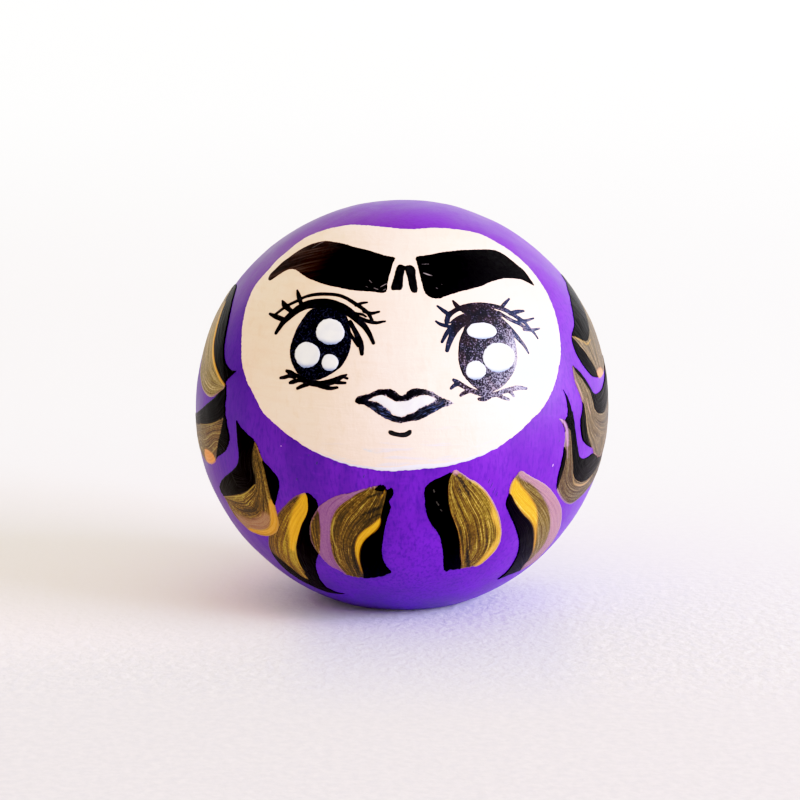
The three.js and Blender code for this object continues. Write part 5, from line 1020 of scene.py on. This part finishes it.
stroke("J", "stroke_right_3", stroke_material("stroke_right_3_paint", ((20, 13, 8), (55, 41, 27), (84, 66, 45), (134, 110, 76)), ((140, 106, 62), (168, 130, 82), (190, 152, 104)),
                                              ((164, 112, 160), (188, 140, 180)), seed=14, freq=16, soft_b=0.15, soft_q=0.3, light=(172, 124, 140)),
       gold=["J_gold"], mauve=["J_tip"], light_pens=[[(49.75, -0.14, 0.21), (50.32, -2.69, 0.21), (50.79, -5.25, 0.16), (51.28, -7.57, 0.11)]],
       bright_pens=[[(55.5, -13, .08), (57, -15.6, .2), (60, -16.9, .3), (64, -17.7, .3), (68.5, -17.5, .24), (72, -16.4, .12)]])
stroke("C", "stroke_right_4", stroke_material("stroke_right_4_paint", ((44, 32, 12), (84, 64, 26), (112, 88, 44), (150, 124, 78)), ((206, 128, 16), (226, 152, 32), (240, 184, 80)), MAUVE_R,
                                              black=(7, 4, 11), seed=2, freq=16, soft_b=0.35, grow_b=-0.12, clip_b=True, soft_q=0.35),
       gold=["C"], bright=["C_yel"], mauve=["C_mauve"], dark=["C_black"], top=0.13)
stroke("F", "stroke_left_2", stroke_material("stroke_left_2_paint", ((28, 20, 8), (78, 60, 30), (116, 92, 50), (170, 144, 90)), ((206, 120, 52), (228, 144, 76), (232, 160, 104)),
                                             MAUVE_L, seed=9, soft_b=0.2, grow_b=-0.15, light=(150, 126, 76)),
       gold=["F_gold"], bright=["F_tip"], light_pens=[[(-74, -2.2, .12), (-68.5, -1.3, .2), (-63.8, -.3, .2), (-60.5, .8, .18), (-58.2, 1.9, .12)]])
stroke("G", "stroke_left_1", stroke_material("stroke_left_1_paint", ((60, 48, 26), (120, 100, 60), (162, 136, 88), (206, 178, 128)), ((206, 148, 60), (222, 164, 72), (230, 180, 100)),
                                             MAUVE_L, seed=4, soft_b=0.15),
       gold=["G_gold"], bright_pens=[[(-82, 31.5, .3), (-79.7, 28.9, .4), (-76.9, 26.3, .5), (-74.6, 23.7, .55), (-72.7, 21, .55), (-70.1, 18.6, .52), (-67, 16.3, .46), (-63.7, 14.3, .42), (-60.5, 12.6, .38), (-57.7, 11.4, .3)]], top=0.13)
stroke("I", "stroke_right_2", stroke_material("stroke_right_2_paint", ((28, 20, 14), (68, 53, 36), (98, 78, 54), (150, 124, 84)), YELLOW, MAUVE_R, seed=6, freq=16, light=(176, 134, 110)),
       gold=["I_gold"], light_pens=[[(55.34, 13.91, 0.12), (56.72, 11.80, 0.19), (57.74, 9.73, 0.21), (58.85, 7.38, 0.17)], [(60.59, 7.09, 0.11), (61.44, 5.04, 0.19), (62.48, 2.94, 0.16)]], top=0.13)
stroke("H", "stroke_right_1", stroke_material("stroke_right_1_paint", ((28, 20, 14), (70, 55, 38), (104, 84, 56), (156, 130, 90)), ((150, 112, 36), (176, 134, 50), (196, 156, 84)),
                                              ((196, 126, 84), (216, 146, 104)), seed=10, freq=16, soft_b=0.15, soft_q=0.35),
       gold=["H_gold"], bright_pens=[[(62.45, 24.06, 0.11), (64.44, 23.22, 0.13), (66.90, 22.07, 0.16), (69.25, 20.84, 0.19)], [(69.25, 20.84, 0.19), (71.74, 21.13, 0.13), (74.07, 21.51, 0.08)]], mauve=["H_tip"])


# ---------------------------------------------------------------- small faults in the violet coat

DABS = {"dark": [(-22.96, -5.27, 0.15, 0.29), (-29.38, -10.36, 0.13, 0.23), (-25.21, -3.29, 0.11, 0.13), (-10.07, -8.04, 0.09, 0.32), (23.91, -10.37, 0.08, 0.43), (24.77, -11.59, 0.08, 0.54), (25.71, -13.13, 0.08, 0.59), (26.65, -14.39, 0.08, 0.46), (47.27, -2.21, 0.11, 0.13), (10.85, -45.78, 0.09, 0.13)],
        "pale": [(45.22, -8.69, 0.11, 0.24), (-33.80, -1.75, 0.09, 0.11), (-17.22, -1.06, 0.08, 0.08)]}


def dabs(name, spots, colour, slot):
    """Little lens-shaped touches of paint, each a closed body: (longitude, latitude, half width, half height in mm)."""
    V, F = [], []
    for lo, la, a, b in spots:
        ch = Chart(lo, la)
        o = len(V)
        n = 14
        tilt = 0.35
        ring = [(a * math.cos(t), b * math.sin(t)) for t in np.linspace(0, 2 * math.pi, n, endpoint=False)]
        ring = [(x * math.cos(tilt) + y * math.sin(tilt), -x * math.sin(tilt) + y * math.cos(tilt)) for x, y in ring]
        pts = [(0, 0)] + [(x * 0.6, y * 0.6) for x, y in ring] + ring + [(0, 0)]
        hs = [0.028] + [0.022] * n + [-0.02] * n + [-0.03]
        d = ch.up(np.array(pts, float))
        r = R + swell(d) + np.array(hs)
        V += (CENTRE + d * r[:, None]).tolist()
        for k in range(n):
            q = (k + 1) % n
            F.append([o, o + 1 + k, o + 1 + q])
            F.append([o + 1 + k, o + 1 + n + k, o + 1 + n + q, o + 1 + q])
            F.append([o + 1 + n + k, o + 1 + 2 * n, o + 1 + n + q])
    ob = make_mesh(name, V, F)
    m = Mat(name + "_paint")
    g = m.noise(m.coords((2600, 2600, 2600)), 1.0, 2.0, 0.5)
    m.set(Base_Color=m.mix(g, colour[0], colour[1]), Roughness=0.5)
    m.bump(g, 0.00003, 0.5)
    paint(ob, m)
    hand_in(ob, slot)


dabs("coat_pits", DABS["dark"], ((44, 2, 100), (54, 4, 124)), "violet_paint")
dabs("coat_flecks", DABS["pale"], ((190, 130, 236), (204, 150, 240)), "violet_paint")


# ---------------------------------------------------------------- materials of the hidden parts


def fibre_material(name, c1, c2, c3, rough=0.85):
    m = Mat(name)
    lay = m.noise(m.coords((220, 220, 220)), 1.0, 4.0, 0.6, 1.2)
    fib = m.noise(m.coords((900, 3800, 900)), 1.0, 3.0, 0.6, 1.5)
    fib2 = m.noise(m.coords((3800, 900, 900), (0.3, 0.5, 0.9)), 1.0, 3.0, 0.6, 1.5)
    col = m.mix(m.step(lay, 0.35, 0.65), c1, c2)
    col = m.mix(m.step(fib, 0.55, 0.7, 0, 0.5), col, c3)
    m.set(Base_Color=col, Roughness=rough)
    m.bump(m.add(m.mul(lay, 1.5), m.add(fib, fib2)), 0.00012, 0.7)
    return m


def clay_material():
    m = Mat("dried_clay")
    lump = m.noise(m.coords((180, 180, 180)), 1.0, 4.0, 0.6)
    grit = m.noise(m.coords((2200, 2200, 2200)), 1.0, 2.0, 0.6)
    col = m.mix(m.step(lump, 0.35, 0.65), (142, 122, 100), (168, 148, 124))
    col = m.mix(m.step(grit, 0.62, 0.75, 0, 0.6), col, (104, 88, 72))
    m.set(Base_Color=col, Roughness=0.92)
    m.bump(m.add(m.mul(lump, 2.0), grit), 0.00015, 0.7)
    return m


def glue_material():
    m = Mat("dried_glue")
    n = m.noise(m.coords((300, 300, 300)), 1.0, 3.0, 0.5)
    m.set(Base_Color=m.mix(n, (214, 190, 130), (236, 220, 172)), Roughness=m.step(n, 0.3, 0.7, 0.2, 0.4))
    m.bump(n, 0.0001, 0.5)
    return m


def chalk_material():
    m = Mat("chalk_ground")
    n = m.noise(m.coords((400, 400, 400)), 1.0, 4.0, 0.6)
    g = m.noise(m.coords((3000, 3000, 3000)), 1.0, 2.0, 0.5)
    m.set(Base_Color=m.mix(n, (236, 232, 224), (248, 245, 240)), Roughness=0.95)
    m.bump(m.add(n, m.mul(g, 0.5)), 0.00008, 0.6)
    return m


for names, mat, slot in ((("front_shell", "rear_shell"), fibre_material("hariko_layers", (206, 194, 170), (190, 176, 150), (226, 216, 196)), "hariko_paper"),
                         (("foot_disc",), fibre_material("foot_paper", (214, 206, 190), (200, 190, 172), (230, 224, 212)), "hariko_paper"),
                         (("seam_strip",), fibre_material("washi_strip", (232, 226, 212), (222, 214, 198), (244, 240, 230)), "washi_paper"),
                         (("base_weight",), clay_material(), "clay"), (("weight_glue_bed",), glue_material(), "glue"), (("ground_coat",), chalk_material(), "chalk_ground")):
    for n in names:
        paint(NODES[n], mat)


# ---------------------------------------------------------------- floor, backdrop, light, camera


def stage_sheet():
    """Paper sweep: flat under the doll, turning up far behind it."""
    xs = np.linspace(-1600, 1600, 60)
    prof = [(-900 + 20 * k, 0.0) for k in range(91)]
    y0, rad = prof[-1][0], 420.0
    for k in range(1, 25):
        a = math.radians(90 * k / 24)
        prof.append((y0 + rad * math.sin(a), rad * (1 - math.cos(a))))
    prof.append((y0 + rad, 1500.0))
    V = np.array([(x, y, z) for y, z in prof for x in xs])
    n = len(xs)
    F = [[j * n + i, j * n + i + 1, (j + 1) * n + i + 1, (j + 1) * n + i] for j in range(len(prof) - 1) for i in range(n - 1)]
    return make_mesh("paper_sweep", V, F)


def sweep_material():
    m = Mat("sweep_paper")
    co = m.coords((1, 1, 1))
    sep = m.t.nodes.new("ShaderNodeSeparateXYZ")
    m.t.links.new(co, sep.inputs[0])
    x, y = sep.outputs[0], sep.outputs[1]
    tooth = m.noise(m.coords((900, 900, 900)), 1.0, 3.0, 0.55)
    near = m.mul(m.step(y, -0.060, -0.034, 0.28, 1.0), m.step(y, -0.012, 0.03, 1.0, 0.12))
    lint = m.noise(m.coords((820, 520, 600), (0.004, 0, 0)), 1.0, 2.0, 0.5, 0.15)
    col = m.mix(m.step(tooth, 0.3, 0.7), (215, 205, 211), (224, 214, 219))
    col = m.mix(m.mul(m.step(lint, 0.50, 0.68), m.mul(near, 0.42)), col, (202, 194, 210))
    col = m.mix(m.mul(m.step(lint, 0.48, 0.34), m.mul(near, 0.42)), col, (240, 232, 234))
    left = m.mul(m.mul(m.step(x, -0.004, -0.022), m.step(x, -0.110, -0.024, 0.30, 0.95)), m.mul(m.step(y, 0.10, 0.01), m.step(y, -0.045, -0.004)))
    col = m.mix(left, col, (251, 231, 232))      # painted light: the sheet is paler and warmer left of the foot, lifting the ball's shadow there
    # painted reflected light and shade: a darker violet tint on the sheet just in front of the foot, where the ball's
    # colour bounces
    painted_violet_bounce = m.mul(m.mul(m.step(x, -0.018, -0.008), m.step(x, 0.026, 0.017)), m.mul(m.step(y, -0.062, -0.020), m.step(y, 0.012, 0.0)))
    col = m.mix(m.mul(painted_violet_bounce, 0.7), col, (190, 186, 222))
    # painted light: the sheet is darker near the camera and paler toward the back, as the light falls off
    col = m.mix(m.step(y, -0.10, 0.15), col, (243, 239, 245))
    col = m.mix(m.step(y, 0.2, 0.9), col, (250, 252, 255))
    m.set(Base_Color=col, Roughness=0.8)
    m.set(Specular_IOR_Level=0.2)
    # painted light: the back of the sheet glows faintly, brighter and cooler higher up
    m.bsdf.inputs["Emission Color"].default_value = (0.88, 0.92, 1.0, 1)
    m.put(m.bsdf.inputs["Emission Strength"], m.step(y, 0.1, 0.75, 0.0, 0.24))
    b = m.t.nodes.new("ShaderNodeBump")
    b.inputs["Distance"].default_value = 0.0004
    m.t.links.new(m.mul(near, 0.45), b.inputs["Strength"])
    m.t.links.new(m.add(tooth, m.mul(lint, 0.5)), b.inputs["Height"])
    m.t.links.new(b.outputs[0], m.bsdf.inputs["Normal"])
    return m


sweep = stage_sheet()
paint(sweep, sweep_material())


def area(name, az, el, dist, size_x, size_y, power, colour, aim=(0, 0, 0.03)):
    li = bpy.data.lights.new(name, "AREA")
    li.shape = "RECTANGLE"
    li.size, li.size_y = size_x, size_y
    li.energy = power
    li.color = colour
    ob = bpy.data.objects.new(name, li)
    bpy.context.scene.collection.objects.link(ob)
    a, e = math.radians(az), math.radians(el)
    d = Vector((math.sin(a) * math.cos(e), -math.cos(a) * math.cos(e), math.sin(e)))
    ob.location = Vector(aim) + d * dist
    ob.rotation_euler = d.to_track_quat("Z", "Y").to_euler()
    return ob


ROOM, GLOSS = (0.82, 0.94), (0.03, 0.5)
ROOM_DIM, ROOM_WARM = (1.0, 0.880, 0.640, 1), (1.0, 0.945, 0.740, 1)
area("window", 69, 20, 1.3, 0.80, 0.60, 26.9, (0.743, 0.778, 1.0))

glow = area("window_glow", 80, 12, 1.0, 1.2, 1.0, 15.0, (0.93, 0.93, 1.0))     # the window's broad sheen on satin paint
glow.visible_diffuse = False

world = bpy.data.worlds.new("room")
world.use_nodes = True
wn, wl = world.node_tree.nodes, world.node_tree.links
bg = wn["Background"]
wc = wn.new("ShaderNodeTexCoord")
ws = wn.new("ShaderNodeSeparateXYZ")
wl.new(wc.outputs["Generated"], ws.inputs[0])


def world_range(lo, hi, a, b):
    """a to b as the direction swings from the dim side of the room to the window side."""
    n = wn.new("ShaderNodeMapRange")
    n.interpolation_type = "SMOOTHSTEP"
    n.inputs[1].default_value, n.inputs[2].default_value = lo, hi
    n.inputs[3].default_value, n.inputs[4].default_value = a, b
    wl.new(ws.outputs[0], n.inputs[0])
    return n.outputs[0]


wx = wn.new("ShaderNodeMix")
wx.data_type = "RGBA"
wl.new(world_range(-0.9, 0.5, 0.0, 1.0), wx.inputs[0])
wx.inputs[6].default_value, wx.inputs[7].default_value = ROOM_DIM, ROOM_WARM
wl.new(wx.outputs[2], bg.inputs[0])
lp = wn.new("ShaderNodeLightPath")                          # the room gives even fill but few reflections
lv = wn.new("ShaderNodeMapRange")
wl.new(world_range(-0.8, 0.4, *ROOM), lv.inputs[3])
wl.new(world_range(0.2, 0.95, *GLOSS), lv.inputs[4])
wl.new(lp.outputs["Is Glossy Ray"], lv.inputs[0])
wl.new(lv.outputs[0], bg.inputs[1])
bpy.context.scene.world = world

cam = bpy.data.cameras.new("camera")
cam.sensor_width = 36.0
cam.lens = 2989.27 / 800 * 36.0
cam.shift_x = -0.0025
cam.shift_y = 0.00625
cam.clip_start, cam.clip_end = 0.01, 20.0
cam_ob = bpy.data.objects.new("camera", cam)
bpy.context.scene.collection.objects.link(cam_ob)
el = math.radians(11)
cam_ob.location = Vector((0, -0.4 * math.cos(el), CZ * MM + 0.4 * math.sin(el)))
aim = Vector((0, 0, CZ * MM))
cam_ob.rotation_euler = (aim - cam_ob.location).to_track_quat("-Z", "Y").to_euler()
bpy.context.scene.camera = cam_ob

bpy.context.scene.view_settings.view_transform = "Standard"
bpy.context.scene.view_settings.look = "None"
bpy.context.scene.view_settings.exposure = 0.0
bpy.context.scene.view_settings.gamma = 1.0

# Print curve, as a bright studio picture is developed: deep blacks, lifted middle, soft shoulder.
vs = bpy.context.scene.view_settings
vs.use_curve_mapping = True
cm = vs.curve_mapping
cm.black_level = (0.006, 0.006, 0.006)
cm.white_level = (2.0, 2.0, 2.0)
TONE = [(0.0, 0.0), (0.06, 0.062), (0.16, 0.215), (0.35, 0.436), (0.6, 0.690), (0.85, 0.835), (1.2, 0.975), (2.0, 1.0)]
pts = cm.curves[3].points
while len(pts) > 2:
    pts.remove(pts[1])
pts[0].location = (0.0, 0.0)
pts[1].location = (1.0, 1.0)
for x, y in TONE[1:-1]:
    pts.new(x / 2.0, y)
cm.update()
